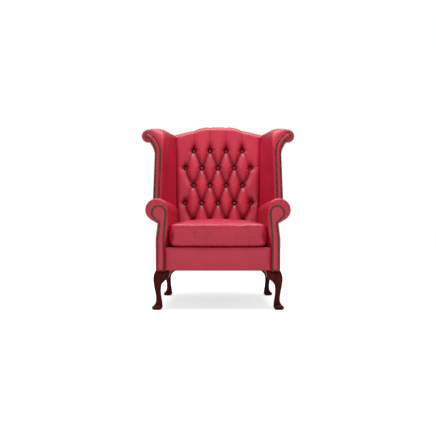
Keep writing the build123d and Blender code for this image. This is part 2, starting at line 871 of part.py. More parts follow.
front_corner = inside_back_plane.origin
with BuildPart() as back_pad:
    extrude(back_outline(rear_wing_inner_x, seat_line, 0), amount=overall_depth, both=True)
    split(bisect_by=inside_back_plane, keep=Keep.BOTTOM)
    split(bisect_by=panel_plane, keep=Keep.TOP)
    front_face = back_pad.faces().sort_by(Axis(front_corner, inside_back_plane.z_dir))[-1]
    crest_edges = front_face.edges().filter_by(
        lambda edge: edge.center().Z > crest_corner_z - crest_edge_radius
        and abs(edge.center().X) < rear_wing_inner_x - clearance
    )
    fillet(crest_edges, radius=crest_edge_radius)
    for start, end, depth in pleat_lines + top_pleats + side_pleats:
        add(pleat_cutter(start, end, depth), mode=Mode.SUBTRACT)
    with Locations(*on_plane(inside_back_plane.offset(-pit_depth), button_places)):
        Cone(
            button_diameter / 2 + clearance,
            pit_radius,
            pit_depth,
            align=(Align.CENTER, Align.CENTER, Align.MIN),
            mode=Mode.SUBTRACT,
        )
    add(frame_zone.part, mode=Mode.SUBTRACT)
    for neighbour in (arm_envelope, wing_envelope):
        add(neighbour.part, mode=Mode.SUBTRACT)
        add(mirrored(neighbour).part, mode=Mode.SUBTRACT)
finish(back_pad, "back_pad")

# Covered button: a low dome, its profile given as shares of the radius and the height
button_shares = ((1, 0), (1, 0.3), (0.72, 0.75), (0.3, 1))
with BuildPart() as button:
    with BuildSketch(Plane.XZ):
        with BuildLine():
            Polyline(
                (0, button_height),
                (0, 0),
                *[
                    (radius_share * button_diameter / 2, height_share * button_height)
                    for radius_share, height_share in button_shares
                ],
                close=True,
            )
        make_face()
    revolve(axis=Axis.Z)

with BuildPart() as back_buttons:
    with Locations(*on_plane(inside_back_plane.offset(-pit_depth), button_places)):
        add(button.part)
finish(back_buttons, "back_buttons")

# Seat support: long straps on the front and back rails, cross straps on the side rails
seat_depth = inside_ground_y + seat_line * tan(radians(inside_rake)) - rail_front_y
with BuildPart() as seat_webbing_long:
    with BuildSketch(Plane.XY.offset(rail_top)):
        with Locations((0, rail_front_y + clearance)):
            with GridLocations(2 * frame_inner_x / (seat_web_count + 1), 0, seat_web_count, 1):
                Rectangle(web_width, overall_depth, align=(Align.CENTER, Align.MIN))
    extrude(amount=web_thickness)
    split(bisect_by=panel_plane.offset(timber / 3), keep=Keep.TOP)
finish(seat_webbing_long, "seat_webbing_long")

with BuildPart() as seat_webbing_cross:
    with BuildSketch(Plane.XY.offset(rail_top + web_thickness)):
        with Locations((0, rail_front_y + timber + seat_depth / 2)):
            with GridLocations(0, seat_depth / cross_web_count, 1, cross_web_count):
                Rectangle(frame_inner_x + frame_outer_x, web_width)
    extrude(amount=web_thickness)
finish(seat_webbing_cross, "seat_webbing_cross")

with BuildPart() as seat_deck_pad:
    with BuildSketch(Plane.XY.offset(rail_top + 2 * web_thickness)):
        with Locations((0, rail_front_y)):
            Rectangle(2 * border_half_width, overall_depth, align=(Align.CENTER, Align.MIN))
    extrude(amount=deck_pad_thickness)
    split(bisect_by=pad_rear_plane, keep=Keep.TOP)
finish(seat_deck_pad, "seat_deck_pad")

with BuildPart() as front_border:
    with BuildSketch(Plane.XZ.offset(-rail_front_y)):
        with Locations((0, leg_height)):
            Rectangle(
                2 * border_half_width, seat_line - leg_height, align=(Align.CENTER, Align.MIN)
            )
    extrude(amount=border_thickness)
    border_front = front_border.faces().sort_by(Axis.Y)[0]
    fillet(border_front.edges().sort_by(Axis.Z)[-1], radius=border_edge_radius)
finish(front_border, "front_border")

with BuildPart() as base_cloth:
    with BuildSketch(Plane.XY.offset(leg_height)):
        with Locations((0, rail_front_y)):
            Rectangle(2 * frame_outer_x, overall_depth, align=(Align.CENTER, Align.MIN))
    extrude(amount=-cloth_thickness)
    split(bisect_by=panel_plane, keep=Keep.TOP)
    leg_notch = leg_block + clearance
    with BuildSketch(Plane.XY.offset(leg_height)):
        for corner_x, corner_align in (
            (base_half_width, Align.MAX),
            (-base_half_width, Align.MIN),
        ):
            with Locations((corner_x, front_leg_y)):
                Rectangle(leg_notch, leg_notch, align=(corner_align, Align.MIN))
            with Locations((corner_x, rear_leg_y)):
                Rectangle(leg_notch, leg_notch, align=(corner_align, Align.MAX))
    extrude(amount=-cloth_thickness, mode=Mode.SUBTRACT)
finish(base_cloth, "base_cloth")


# Loose seat cushion: crowned on top, drawn in at the sides between its corners
cushion_front_y = front_y + cushion_front_setback


def cushion_rear(z):
    """Depth of the cushion's back edge at a height; it keeps clear of the leaning back."""
    return (
        inside_ground_y
        + z * tan(radians(inside_rake))
        - cushion_back_gap / cos(radians(inside_rake))
    )


def cushion_section(z, inset):
    """Plan of the cushion at a height."""
    front = cushion_front_y + inset
    rear = cushion_rear(z) - inset
    front_half = cushion_front_half_width - inset
    rear_half = cushion_rear_half_width - inset
    middle = ((front_half + rear_half) / 2 - cushion_side_draw, (front + rear) / 2)
    with BuildSketch(Plane.XY.offset(z)) as section:
        with BuildLine():
            Line((-front_half, front), (front_half, front))
            ThreePointArc((front_half, front), middle, (rear_half, rear))
            Line((rear_half, rear), (-rear_half, rear))
            ThreePointArc((-rear_half, rear), (-middle[0], middle[1]), (-front_half, front))
        make_face()
        fillet(section.vertices(), radius=cushion_corner_radius)
    return section.sketch


def cushion_body(skin):
    """The cushion's volume, or its filling where skin is the cover's thickness."""
    bottom = seat_line + clearance + skin
    rise = cushion_crown_z - skin - cushion_seam_z
    depth = cushion_rear(cushion_crown_z) - cushion_front_y
    crown_reach = min(cushion_rear_half_width, depth / 2) - crown_flat
    with BuildPart() as body:
        loft(
            [cushion_section(bottom, cushion_edge_roll + skin)]
            + [cushion_section(bottom + cushion_edge_roll / 3, cushion_edge_roll / 3 + skin)]
            + [cushion_section(bottom + cushion_edge_roll, skin)]
            + [
                cushion_section(
                    cushion_seam_z + rise_share * rise, inset_share * crown_reach + skin
                )
                for rise_share, inset_share in zip(crown_rise_shares, crown_inset_shares)
            ],
            ruled=True,
        )
    return body


cushion_foam = cushion_body(cushion_cover_thickness)
with BuildPart() as cushion_cover:
    add(cushion_body(0).part)
    add(cushion_foam.part, mode=Mode.SUBTRACT)
finish(cushion_cover, "cushion_cover")
finish(cushion_foam, "cushion_foam")

# Zip across the back of the cover, with its slider at one end
zip_plane = inside_back_plane.offset(cushion_back_gap)
zip_z = (seat_line + cushion_seam_z) / 2 / cos(radians(inside_rake))
with BuildPart() as cushion_zip:
    with BuildSketch(zip_plane):
        with Locations((0, zip_z)):
            Rectangle(zip_length, zip_tape_width)
    extrude(amount=-zip_tape_thickness)
    with BuildSketch(zip_plane.offset(-zip_tape_thickness)):
        with Locations((0, zip_z)):
            Rectangle(zip_length, zip_chain_width)
    extrude(amount=-zip_chain_thickness)
finish(cushion_zip, "cushion_zip")

slider_x = zip_slider_length - zip_length / 2
slider_base_plane = zip_plane.offset(-zip_tape_thickness - zip_gap)
with BuildPart() as zip_slider:
    with BuildSketch(slider_base_plane):
        with Locations((slider_x, zip_z)):
            Rectangle(zip_slider_length, zip_slider_width)
    extrude(amount=-zip_slider_thickness)
    with BuildSketch(slider_base_plane):
        with Locations((slider_x, zip_z)):
            Rectangle(zip_slider_length, zip_chain_width + 2 * zip_gap)
    extrude(amount=-zip_chain_thickness, mode=Mode.SUBTRACT)
    with BuildSketch(slider_base_plane.offset(-zip_slider_thickness)):
        with Locations((slider_x, zip_z)):
            Rectangle(zip_pull_length, zip_pull_width, align=(Align.MIN, Align.CENTER))
    extrude(amount=-zip_pull_thickness)
finish(zip_slider, "zip_slider")

# Facings on the arm fronts and wing fronts, inside their rows of nails
arm_loop = (arm_nail_loop_x, arm_nail_loop_z)
arm_inner_touch = touch(
    (arm_nail_inner_x, arm_nail_break_z), arm_loop, arm_nail_loop_radius, -1
)
arm_outer_touch = touch(
    (arm_nail_neck_x, arm_nail_neck_z), arm_loop, arm_nail_loop_radius, 1
)
with BuildSketch(Plane.XZ.offset(-arm_front_y)) as arm_nail_line:
    with BuildLine():
        Polyline(
            arm_outer_touch,
            (arm_nail_neck_x, arm_nail_neck_z),
            (arm_nail_outer_x, arm_nail_break_z),
            (arm_nail_outer_x, arm_nail_bottom),
            (arm_nail_inner_x, arm_nail_bottom),
            (arm_nail_inner_x, arm_nail_break_z),
            arm_inner_touch,
        )
        ThreePointArc(
            arm_inner_touch, (arm_nail_loop_x, arm_nail_loop_z + arm_nail_loop_radius), arm_outer_touch
        )
    make_face()

with BuildPart() as arm_facing:
    with BuildSketch(Plane.XZ.offset(-arm_front_y)):
        add(arm_nail_line.sketch_local)
        offset(amount=facing_margin)
    extrude(amount=facing_thickness)
finish_pair(arm_facing, "arm_facing")

wing_rake_scale = 1 / cos(radians(wing_rake))
wing_facing_foot = (wing_facing_foot_x, wing_facing_foot_z * wing_rake_scale)


def wing_band(gauge):
    """Closed band on both sides of the wing's centre line, round at the scroll."""
    top = (wing_facing_top_x, wing_facing_top_z * wing_rake_scale)
    radius = wing_facing_bend_radius
    bend = degrees(acos(1 - (wing_facing_end_x - wing_facing_top_x) / radius))
    with BuildSketch(wing_front_plane) as band:
        with BuildLine():
            left = Line((wing_facing_foot[0] - gauge, wing_facing_foot[1]), (top[0] - gauge, top[1]))
            over = JernArc(left @ 1, (0, 1), radius + gauge, -bend)
            cap = JernArc(over @ 1, over % 1, gauge, -180)
            back = JernArc(cap @ 1, cap % 1, radius - gauge, bend)
            Polyline(
                back @ 1, (wing_facing_foot[0] + gauge, wing_facing_foot[1]), left @ 0
            )
        make_face()
    return band.sketch


with BuildPart() as wing_facing:
    extrude(wing_band(wing_nail_gauge + facing_margin), amount=facing_thickness)
    add(arm_envelope.part, mode=Mode.SUBTRACT)
finish_pair(wing_facing, "wing_facing")

# Nails: low six-sided domes, evenly spaced along their lines
nail_radius = nail_diameter / 2
with BuildPart() as nail:
    with BuildSketch():
        RegularPolygon(nail_radius, 6)
    loft([nail.pending_faces[0], Vertex(0, 0, nail_height)])


def along(wire, skip_below):
    """Evenly spaced places on a closed line, in its own plane."""
    count = round(wire.length / nail_pitch)
    places = [wire @ (number / count) for number in range(count)]
    return [place for place in places if place.Z > skip_below]


def nail_run(places, plane):
    """Nail heads seated on a facing."""
    with BuildPart() as run:
        with Locations(*[Location(Plane(place, plane.x_dir, plane.z_dir)) for place in places]):
            add(nail.part)
    return run


arm_nail_plane = Plane.XZ.offset(-facing_front_y)
arm_nail_wire = arm_nail_line.sketch.face().outer_wire().moved(
    Location((0, -facing_thickness, 0))
)
arm_nails = nail_run(along(arm_nail_wire, 0), arm_nail_plane)
finish_pair(arm_nails, "arm_nails")

wing_nail_plane = wing_front_plane.offset(facing_thickness)
wing_nail_wire = wing_band(wing_nail_gauge).face().outer_wire().moved(
    Location(wing_front_plane.z_dir * facing_thickness)
)
wing_nails = nail_run(along(wing_nail_wire, wing_nail_bottom_z), wing_nail_plane)
finish_pair(wing_nails, "wing_nails")
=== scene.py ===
# %% [markdown]
# # A scroll-wing armchair in buttoned leather
#
# The chair is a hardwood frame, padded and covered in crimson leather. The frame, its joints and its
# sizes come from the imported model. This script makes what the eye sees: the deep-buttoned back, the
# scroll arms and wings with their nailed facings, the loose cushion and the polished legs. Everything
# is in metres, +Z is up and the chair faces -Y.

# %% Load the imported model
import math

import bmesh
import bpy
import numpy as np
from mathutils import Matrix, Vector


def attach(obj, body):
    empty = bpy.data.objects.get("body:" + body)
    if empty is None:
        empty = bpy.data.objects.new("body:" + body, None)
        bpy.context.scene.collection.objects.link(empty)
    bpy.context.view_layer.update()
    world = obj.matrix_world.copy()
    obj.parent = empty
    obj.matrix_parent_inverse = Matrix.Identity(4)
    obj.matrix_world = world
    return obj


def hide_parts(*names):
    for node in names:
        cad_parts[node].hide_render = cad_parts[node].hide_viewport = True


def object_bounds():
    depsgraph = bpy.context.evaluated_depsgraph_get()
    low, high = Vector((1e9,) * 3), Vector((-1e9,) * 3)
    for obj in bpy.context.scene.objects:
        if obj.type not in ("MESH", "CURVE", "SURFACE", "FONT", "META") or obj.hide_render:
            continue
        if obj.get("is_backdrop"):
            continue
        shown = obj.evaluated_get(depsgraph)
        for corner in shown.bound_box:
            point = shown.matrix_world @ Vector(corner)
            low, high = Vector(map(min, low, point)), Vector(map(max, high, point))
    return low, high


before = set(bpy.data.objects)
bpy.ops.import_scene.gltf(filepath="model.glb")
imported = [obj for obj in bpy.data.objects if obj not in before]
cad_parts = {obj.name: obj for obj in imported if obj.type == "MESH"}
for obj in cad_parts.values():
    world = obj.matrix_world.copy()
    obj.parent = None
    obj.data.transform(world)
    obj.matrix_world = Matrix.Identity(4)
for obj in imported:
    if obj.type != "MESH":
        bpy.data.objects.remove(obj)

cad_low, cad_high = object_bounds()
scene = bpy.context.scene
print("packed model:", len(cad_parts), "nodes, box", [round(v, 3) for v in (*cad_low, *cad_high)])

# %% [markdown]
# ## The camera
#
# The photograph was taken level with the seat, from straight in front. A long lens keeps the arms and
# the back nearly the same scale. A small upward shift puts the horizon where the photograph has it,
# which keeps the camera level, so upright edges stay upright.

# %% Camera
eye_height = 0.439
eye_distance = 3.37
lens_millimetres = 45.1
horizon_shift = 0.0252

camera_data = bpy.data.cameras.new("camera")
camera_data.lens = lens_millimetres
camera_data.sensor_width = 36
camera_data.shift_y = horizon_shift
camera = bpy.data.objects.new("camera", camera_data)
camera.location = (0, -eye_distance, eye_height)
camera.rotation_euler = (math.pi / 2, 0, 0)
scene.collection.objects.link(camera)
scene.camera = camera
scene.view_settings.view_transform = "Standard"
print("camera at", tuple(camera.location))

# %% [markdown]
# ## Node helpers
#
# A material is a small graph. One helper adds a node, sets its properties, and fills each input with
# either a value or a link, so that a whole material reads from top to bottom like a recipe.


# %% Node helpers
def add_node(tree, kind, inputs=None, **settings):
    """Add a node, set its properties, and give each input a value or a link."""
    made = tree.nodes.new(kind)
    for key, value in settings.items():
        setattr(made, key, value)
    for key, value in (inputs or {}).items():
        if isinstance(value, bpy.types.NodeSocket):
            tree.links.new(value, made.inputs[key])
        else:
            made.inputs[key].default_value = value
    return made


def mix_colour(tree, share, first, second, blend="MIX"):
    """Colour part of the way from first to second; returns the output socket."""
    mixer = add_node(tree, "ShaderNodeMix", {0: share, 6: first, 7: second}, data_type="RGBA",
                     blend_type=blend)
    return mixer.outputs[2]


def math_node(tree, operation, first, second=0.0, clamp=False):
    """One arithmetic step on two values; returns the output socket."""
    step = add_node(tree, "ShaderNodeMath", {0: first, 1: second}, operation=operation, use_clamp=clamp)
    return step.outputs[0]


def rescale(tree, value, from_low, from_high, to_low, to_high):
    """Map a value's range onto another, held at both ends; returns the output socket."""
    step = add_node(tree, "ShaderNodeMapRange",
                    {"Value": value, "From Min": from_low, "From Max": from_high,
                     "To Min": to_low, "To Max": to_high})
    return step.outputs["Result"]


def new_group(name, inputs, outputs):
    """A node group with named colour ("C") and value ("F") sockets; returns group, start and end."""
    kinds = {"C": "NodeSocketColor", "F": "NodeSocketFloat"}
    group = bpy.data.node_groups.new(name, "ShaderNodeTree")
    for socket, kind in inputs.items():
        group.interface.new_socket(name=socket, in_out="INPUT", socket_type=kinds[kind])
    for socket, kind in outputs.items():
        group.interface.new_socket(name=socket, in_out="OUTPUT", socket_type=kinds[kind])
    start = group.nodes.new("NodeGroupInput")
    end = group.nodes.new("NodeGroupOutput")
    return group, start, end


def grouped_material(name, group, settings, bump_distance, bump_strength):
    """A material whose colour, roughness and bumps come from a group; returns material and shader."""
    material = bpy.data.materials.new(name)
    material.use_nodes = True
    tree = material.node_tree
    shader = tree.nodes["Principled BSDF"]
    pattern = add_node(tree, "ShaderNodeGroup", node_tree=group)
    for socket, value in settings.items():
        pattern.inputs[socket].default_value = (*value, 1) if isinstance(value, tuple) else value
    bump = add_node(tree, "ShaderNodeBump", {"Height": pattern.outputs["Height"], "Distance": bump_distance,
                                             "Strength": bump_strength})
    tree.links.new(pattern.outputs["Color"], shader.inputs["Base Color"])
    tree.links.new(pattern.outputs["Roughness"], shader.inputs["Roughness"])
    tree.links.new(bump.outputs["Normal"], shader.inputs["Normal"])
    return material, shader


print("node helpers ready, scene has", len(bpy.data.materials), "materials so far")

# %% [markdown]
# ## The stage
#
# A chair for a catalogue stands on a white sweep under large soft boxes. The floor here is a pale
# plane that still takes the chair's shadow, and it glows more the further it is from the chair, so
# that it fades into the background as a sweep does. The world is a dim even grey for the light that
# falls on the chair, and plain white for rays that come from the camera or bounce off gloss, so the
# background is white without more light on the leather.

# %% Stage
floor_half_size = 9.0
floor_grey = 0.86
fill_level = 0.34
background_level = 1.0
glow_start, glow_end, near_glow = 0.6, 2.4, 0.62


def seen_directly(tree):
    """1 for rays from the camera, off gloss or through glass, and 0 for all others."""
    path = add_node(tree, "ShaderNodeLightPath")
    seen = math_node(tree, "MAXIMUM", path.outputs["Is Camera Ray"], path.outputs["Is Glossy Ray"])
    return math_node(tree, "MAXIMUM", seen, path.outputs["Is Transmission Ray"])


world = bpy.data.worlds.new("studio")
scene.world = world
world.use_nodes = True
tree = world.node_tree
level = rescale(tree, seen_directly(tree), 0.0, 1.0, fill_level, background_level)
tree.links.new(level, tree.nodes["Background"].inputs["Strength"])
tree.nodes["Background"].inputs["Color"].default_value = (1, 1, 1, 1)

floor_mesh = bpy.data.meshes.new("floor")
corners = [(x * floor_half_size, y * floor_half_size, 0) for x, y in ((-1, -1), (1, -1), (1, 1), (-1, 1))]
floor_mesh.from_pydata(corners, [], [(0, 1, 2, 3)])
floor = bpy.data.objects.new("floor", floor_mesh)
scene.collection.objects.link(floor)
floor_material = bpy.data.materials.new("pale_floor")
floor_material.use_nodes = True
tree = floor_material.node_tree
shader = tree.nodes["Principled BSDF"]
shader.inputs["Base Color"].default_value = (floor_grey, floor_grey, floor_grey, 1)
shader.inputs["Roughness"].default_value = 0.9
shader.inputs["Specular IOR Level"].default_value = 0.1
shader.inputs["Emission Strength"].default_value = 1.0
place = add_node(tree, "ShaderNodeTexCoord").outputs["Object"]
away = add_node(tree, "ShaderNodeVectorMath", {0: place}, operation="LENGTH").outputs["Value"]
glow = rescale(tree, away, glow_start, glow_end, near_glow, background_level)
tree.links.new(math_node(tree, "MULTIPLY", glow, seen_directly(tree)), shader.inputs["Emission Color"])
floor.data.materials.append(floor_material)
floor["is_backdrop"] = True


def soft_box(name, place, aim, width, height, watts):
    """A rectangular area light at a place, turned to face a point."""
    lamp = bpy.data.lights.new(name, "AREA")
    lamp.shape = "RECTANGLE"
    lamp.size, lamp.size_y, lamp.energy = width, height, watts
    box = bpy.data.objects.new(name, lamp)
    box.location = place
    toward = np.array(aim, float) - np.array(place, float)
    box.rotation_euler = (math.atan2(math.hypot(toward[0], toward[1]), -toward[2]), 0,
                          math.atan2(toward[0], -toward[1]) + math.pi)
    box.visible_camera = False
    scene.collection.objects.link(box)


chair_middle = (0, 0, 0.6)
soft_box("top_box", place=(0, -0.15, 3.0), aim=chair_middle, width=2.4, height=1.4, watts=86)
soft_box("front_box", place=(0, -2.9, 0.9), aim=chair_middle, width=2.6, height=1.4, watts=18)
print("stage: floor", 2 * floor_half_size, "m wide, world fill", fill_level)

# %% [markdown]
# ## Leather
#
# Upholstery leather is a dyed hide with a fine pebble grain. Seen close, each pebble is a cell about a
# millimetre wide with a softer edge; seen from across a room only the satin sheen and a faint
# mottling remain. The grain comes from a cell texture with fine noise over it, the mottling from slow
# noise. The pattern reads object coordinates, so it has the same scale on every piece and crosses
# folds without a seam. Shade is also painted into the colour: a value stored on the points of the
# pits, pleats, buttons, nail lines and the sides of the back darkens it, as painted shade. It is one
# node group, because every leather piece shares it.

# %% Leather
leather_group, start, end = new_group(
    "leather_grain",
    {"Deep": "C", "Bright": "C", "Cell Scale": "F", "Roughness": "F"},
    {"Color": "C", "Roughness": "F", "Height": "F"},
)
tree = leather_group
# painted shade: the value stored on the points, read here to darken the colour
painted_shade = add_node(tree, "ShaderNodeAttribute", attribute_name="painted_shade").outputs["Fac"]
place = add_node(tree, "ShaderNodeTexCoord").outputs["Object"]
cells = add_node(tree, "ShaderNodeTexVoronoi", {"Vector": place, "Scale": start.outputs["Cell Scale"]},
                 feature="DISTANCE_TO_EDGE").outputs["Distance"]
pebble = rescale(tree, cells, 0.0, 0.25, 0.0, 1.0)
pores = add_node(tree, "ShaderNodeTexNoise", {"Vector": place, "Scale": 1900.0, "Detail": 2.0}).outputs["Fac"]
mottle = add_node(tree, "ShaderNodeTexNoise", {"Vector": place, "Scale": 7.0, "Detail": 4.0,
                                               "Roughness": 0.6}).outputs["Fac"]
creases = add_node(tree, "ShaderNodeTexNoise", {"Vector": place, "Scale": 45.0, "Detail": 5.0,
                                                "Distortion": 1.2}).outputs["Fac"]
tone = rescale(tree, mottle, 0.35, 0.65, 0.0, 1.0)
colour = mix_colour(tree, tone, start.outputs["Deep"], start.outputs["Bright"])
groove = rescale(tree, pebble, 0.0, 1.0, 0.82, 1.0)
colour = mix_colour(tree, 1.0, colour, groove, blend="MULTIPLY")
# painted shade: the larger the stored value, the darker the colour
shade = rescale(tree, painted_shade, 0.12, 0.95, 1.0, 0.08)
colour = mix_colour(tree, 1.0, colour, shade, blend="MULTIPLY")
tree.links.new(colour, end.inputs["Color"])
varied = math_node(tree, "MULTIPLY_ADD", mottle, 0.16)
varied.node.inputs[2].default_value = -0.08
tree.links.new(math_node(tree, "ADD", start.outputs["Roughness"], varied), end.inputs["Roughness"])
height = math_node(tree, "ADD", math_node(tree, "MULTIPLY", pebble, 0.5),
                   math_node(tree, "MULTIPLY", pores, 0.25))
height = math_node(tree, "ADD", height, math_node(tree, "MULTIPLY", creases, 0.9))
tree.links.new(height, end.inputs["Height"])


def leather(name, deep, bright, roughness):
    """A leather material: the shared grain under a thin sheen of wax."""
    settings = {"Deep": deep, "Bright": bright, "Cell Scale": 620.0, "Roughness": roughness}
    material, shader = grouped_material(name, leather_group, settings, 0.0004, 0.35)
    shader.inputs["Specular IOR Level"].default_value = 0.36
    shader.inputs["Coat Weight"].default_value = 0.04
    shader.inputs["Coat Roughness"].default_value = 0.3
    return material


crimson = leather("crimson_leather", (0.46, 0.009, 0.036), (0.53, 0.013, 0.046), 0.42)
crimson_facing = leather("crimson_leather_stretched", (0.47, 0.010, 0.038), (0.54, 0.014, 0.048), 0.40)
print("leather:", crimson.name, "and", crimson_facing.name)

# %% [markdown]
# ## Polished mahogany
#
# The legs are carved from one piece, stained a very dark red and polished. Grain runs along the leg:
# a noise texture squeezed along Z gives long bent streaks. A thin smooth coat lies over the stain, so
# the highlights are soft and grey while the wood under them stays dark. The frame's bare beech is the
# same group without the coat. Nails, bolts and the zip's slider share a third recipe, clean metal with
# darker spots of age; each nail's head also darkens towards its rim, as painted shade.

# %% Mahogany, beech and the metals
wood_group, start, end = new_group(
    "wood_grain",
    {"Dark": "C", "Light": "C", "Streak Scale": "F"},
    {"Color": "C", "Roughness": "F", "Height": "F"},
)
tree = wood_group
place = add_node(tree, "ShaderNodeTexCoord").outputs["Object"]
long_grain = add_node(tree, "ShaderNodeMapping", {"Vector": place, "Scale": (1, 1, 0.09)}).outputs["Vector"]
streaks = add_node(tree, "ShaderNodeTexNoise", {"Vector": long_grain, "Scale": start.outputs["Streak Scale"],
                                                "Detail": 6.0, "Distortion": 0.8}).outputs["Fac"]
pores = add_node(tree, "ShaderNodeTexNoise", {"Vector": long_grain, "Scale": 900.0,
                                              "Detail": 2.0}).outputs["Fac"]
tone = rescale(tree, streaks, 0.32, 0.68, 0.0, 1.0)
colour = mix_colour(tree, tone, start.outputs["Dark"], start.outputs["Light"])
tree.links.new(colour, end.inputs["Color"])
tree.links.new(rescale(tree, pores, 0.3, 0.7, 0.34, 0.5), end.inputs["Roughness"])
tree.links.new(math_node(tree, "ADD", math_node(tree, "MULTIPLY", streaks, 0.4), pores), end.inputs["Height"])


def wood(name, dark, light, streak_scale, coat):
    """A wood material: shared grain, and a coat of polish where coat is above zero."""
    settings = {"Dark": dark, "Light": light, "Streak Scale": streak_scale}
    material, shader = grouped_material(name, wood_group, settings, 0.0003, 0.2)
    shader.inputs["Specular IOR Level"].default_value = 0.04
    shader.inputs["Coat Weight"].default_value = coat
    shader.inputs["Coat Roughness"].default_value = 0.16
    return material


mahogany = wood("polished_mahogany", (0.016, 0.0006, 0.0005), (0.085, 0.004, 0.003), 26.0, 0.04)
beech = wood("planed_beech", (0.42, 0.26, 0.13), (0.62, 0.44, 0.26), 60.0, 0.0)

patina_group, start, end = new_group(
    "metal_patina", {"Clean": "C", "Aged And Shaded": "C"}, {"Color": "C", "Roughness": "F", "Height": "F"}
)
tree = patina_group
place = add_node(tree, "ShaderNodeTexCoord").outputs["Object"]
spots = add_node(tree, "ShaderNodeTexNoise", {"Vector": place, "Scale": 160.0, "Detail": 4.0}).outputs["Fac"]
age_and_shade = rescale(tree, spots, 0.35, 0.65, 0.0, 1.0)
# painted shade: the nails store it, so each head turns to the dark colour towards its rim
painted_shade = add_node(tree, "ShaderNodeAttribute", attribute_name="painted_shade").outputs["Fac"]
age_and_shade = math_node(tree, "MAXIMUM", age_and_shade, painted_shade)
tree.links.new(mix_colour(tree, age_and_shade, start.outputs["Clean"], start.outputs["Aged And Shaded"]), end.inputs["Color"])
tree.links.new(rescale(tree, spots, 0.3, 0.7, 0.28, 0.5), end.inputs["Roughness"])
tree.links.new(spots, end.inputs["Height"])


def metal(name, clean, aged_and_shaded):
    """A metal with darker, rougher spots of age, and darker still where its points store painted shade."""
    material, shader = grouped_material(name, patina_group, {"Clean": clean, "Aged And Shaded": aged_and_shaded}, 0.0002, 0.2)
    shader.inputs["Metallic"].default_value = 1.0
    return material


antique_brass = metal("antique_brass", (0.105, 0.09, 0.052), (0.012, 0.009, 0.006))
zip_brass = metal("zip_brass", (0.42, 0.30, 0.14), (0.20, 0.13, 0.06))
zinc_steel = metal("zinc_steel", (0.62, 0.62, 0.60), (0.42, 0.42, 0.42))
print("woods and metals made")

# %% [markdown]
# ## Woven cloths
#
# Webbing, platform cloth, the zip's tape, the cover of the cushion's filling and the black cloth under
# the seat are all plain weaves: threads over and under in two directions. Wave textures along the
# three axes, multiplied in pairs, give the bumps of the weave on a face that looks any way, and the
# thread size is one value.

# %% Woven cloths
weave_group, start, end = new_group(
    "plain_weave", {"Shade": "C", "Thread": "C", "Thread Scale": "F"},
    {"Color": "C", "Roughness": "F", "Height": "F"},
)
tree = weave_group
place = add_node(tree, "ShaderNodeTexCoord").outputs["Object"]
threads = [
    add_node(tree, "ShaderNodeTexWave", {"Vector": place, "Scale": start.outputs["Thread Scale"],
                                         "Distortion": 0.3}, bands_direction=direction).outputs["Fac"]
    for direction in ("X", "Y", "Z")
]
weave = math_node(tree, "MULTIPLY", math_node(tree, "MAXIMUM", threads[0], threads[1]), threads[2])
weave = math_node(tree, "ADD", weave, math_node(tree, "MULTIPLY", threads[0], threads[1]))
tree.links.new(mix_colour(tree, weave, start.outputs["Shade"], start.outputs["Thread"]), end.inputs["Color"])
tree.links.new(rescale(tree, weave, 0.0, 1.0, 0.95, 0.8), end.inputs["Roughness"])
tree.links.new(weave, end.inputs["Height"])


def cloth(name, shade, thread, thread_scale):
    """A plain woven cloth: thread colour over the colour in its gaps."""
    settings = {"Shade": shade, "Thread": thread, "Thread Scale": thread_scale}
    return grouped_material(name, weave_group, settings, 0.0005, 0.5)[0]


webbing_cloth = cloth("webbing_cloth", (0.25, 0.18, 0.10), (0.50, 0.40, 0.26), 160.0)
platform_cloth = cloth("platform_cloth", (0.16, 0.008, 0.014), (0.32, 0.03, 0.04), 220.0)
dust_cloth = cloth("dust_cloth", (0.008, 0.008, 0.008), (0.035, 0.035, 0.035), 260.0)
zip_cloth = cloth("zip_cloth", (0.09, 0.005, 0.010), (0.22, 0.015, 0.025), 500.0)
filling_cloth = cloth("filling_cloth", (0.70, 0.64, 0.52), (0.86, 0.81, 0.70), 300.0)
print("cloths made")

# %% [markdown]
# ## Building surfaces from arrays
#
# Every new piece is a grid of points: one direction runs round or across the piece, the other along
# it. The points are worked out as whole arrays, and a second array says which four neighbours make
# each face. Closed ends get one flat face.


# %% Surface helpers
def mix(first, last, share):
    """Value part of the way from first to last."""
    return first + (last - first) * share


def grid_faces(rows, columns, close_columns=False, first=0):
    """Four-sided faces of a grid of rows times columns points, numbered row by row."""
    column_steps = columns if close_columns else columns - 1
    row, column = np.meshgrid(np.arange(rows - 1), np.arange(column_steps), indexing="ij")
    after = (column + 1) % columns
    here, below = row * columns, (row + 1) * columns
    return first + np.stack([here + column, here + after, below + after, below + column]).reshape(4, -1).T


def grid_normals(points):
    """Unit normals of a grid: the cross product of its two directions of travel."""
    normals = np.cross(np.gradient(points, axis=1), np.gradient(points, axis=0))
    return normals / np.maximum(np.linalg.norm(normals, axis=-1, keepdims=True), 1e-12)


def slow_waves(points, size):
    """Smooth unevenness from -1 to 1: a sum of sines of place, with waves about size long."""
    x, y, z = (points[..., axis] * 2 * math.pi / size for axis in range(3))
    return (np.sin(x + 0.6 * y + 0.3) + np.sin(0.8 * y - 0.7 * z + 1.7) + np.sin(0.9 * z + 0.5 * x + 4.1)) / 3


def tube_faces(rows, columns):
    """Faces of a grid closed round its columns, with one flat face at each end."""
    ends = [np.arange(columns)[None, ::-1], (rows - 1) * columns + np.arange(columns)[None]]
    return [grid_faces(rows, columns, close_columns=True), *ends]


print("a tube of 3 rings of 4 points has", sum(len(part) for part in tube_faces(3, 4)), "faces")
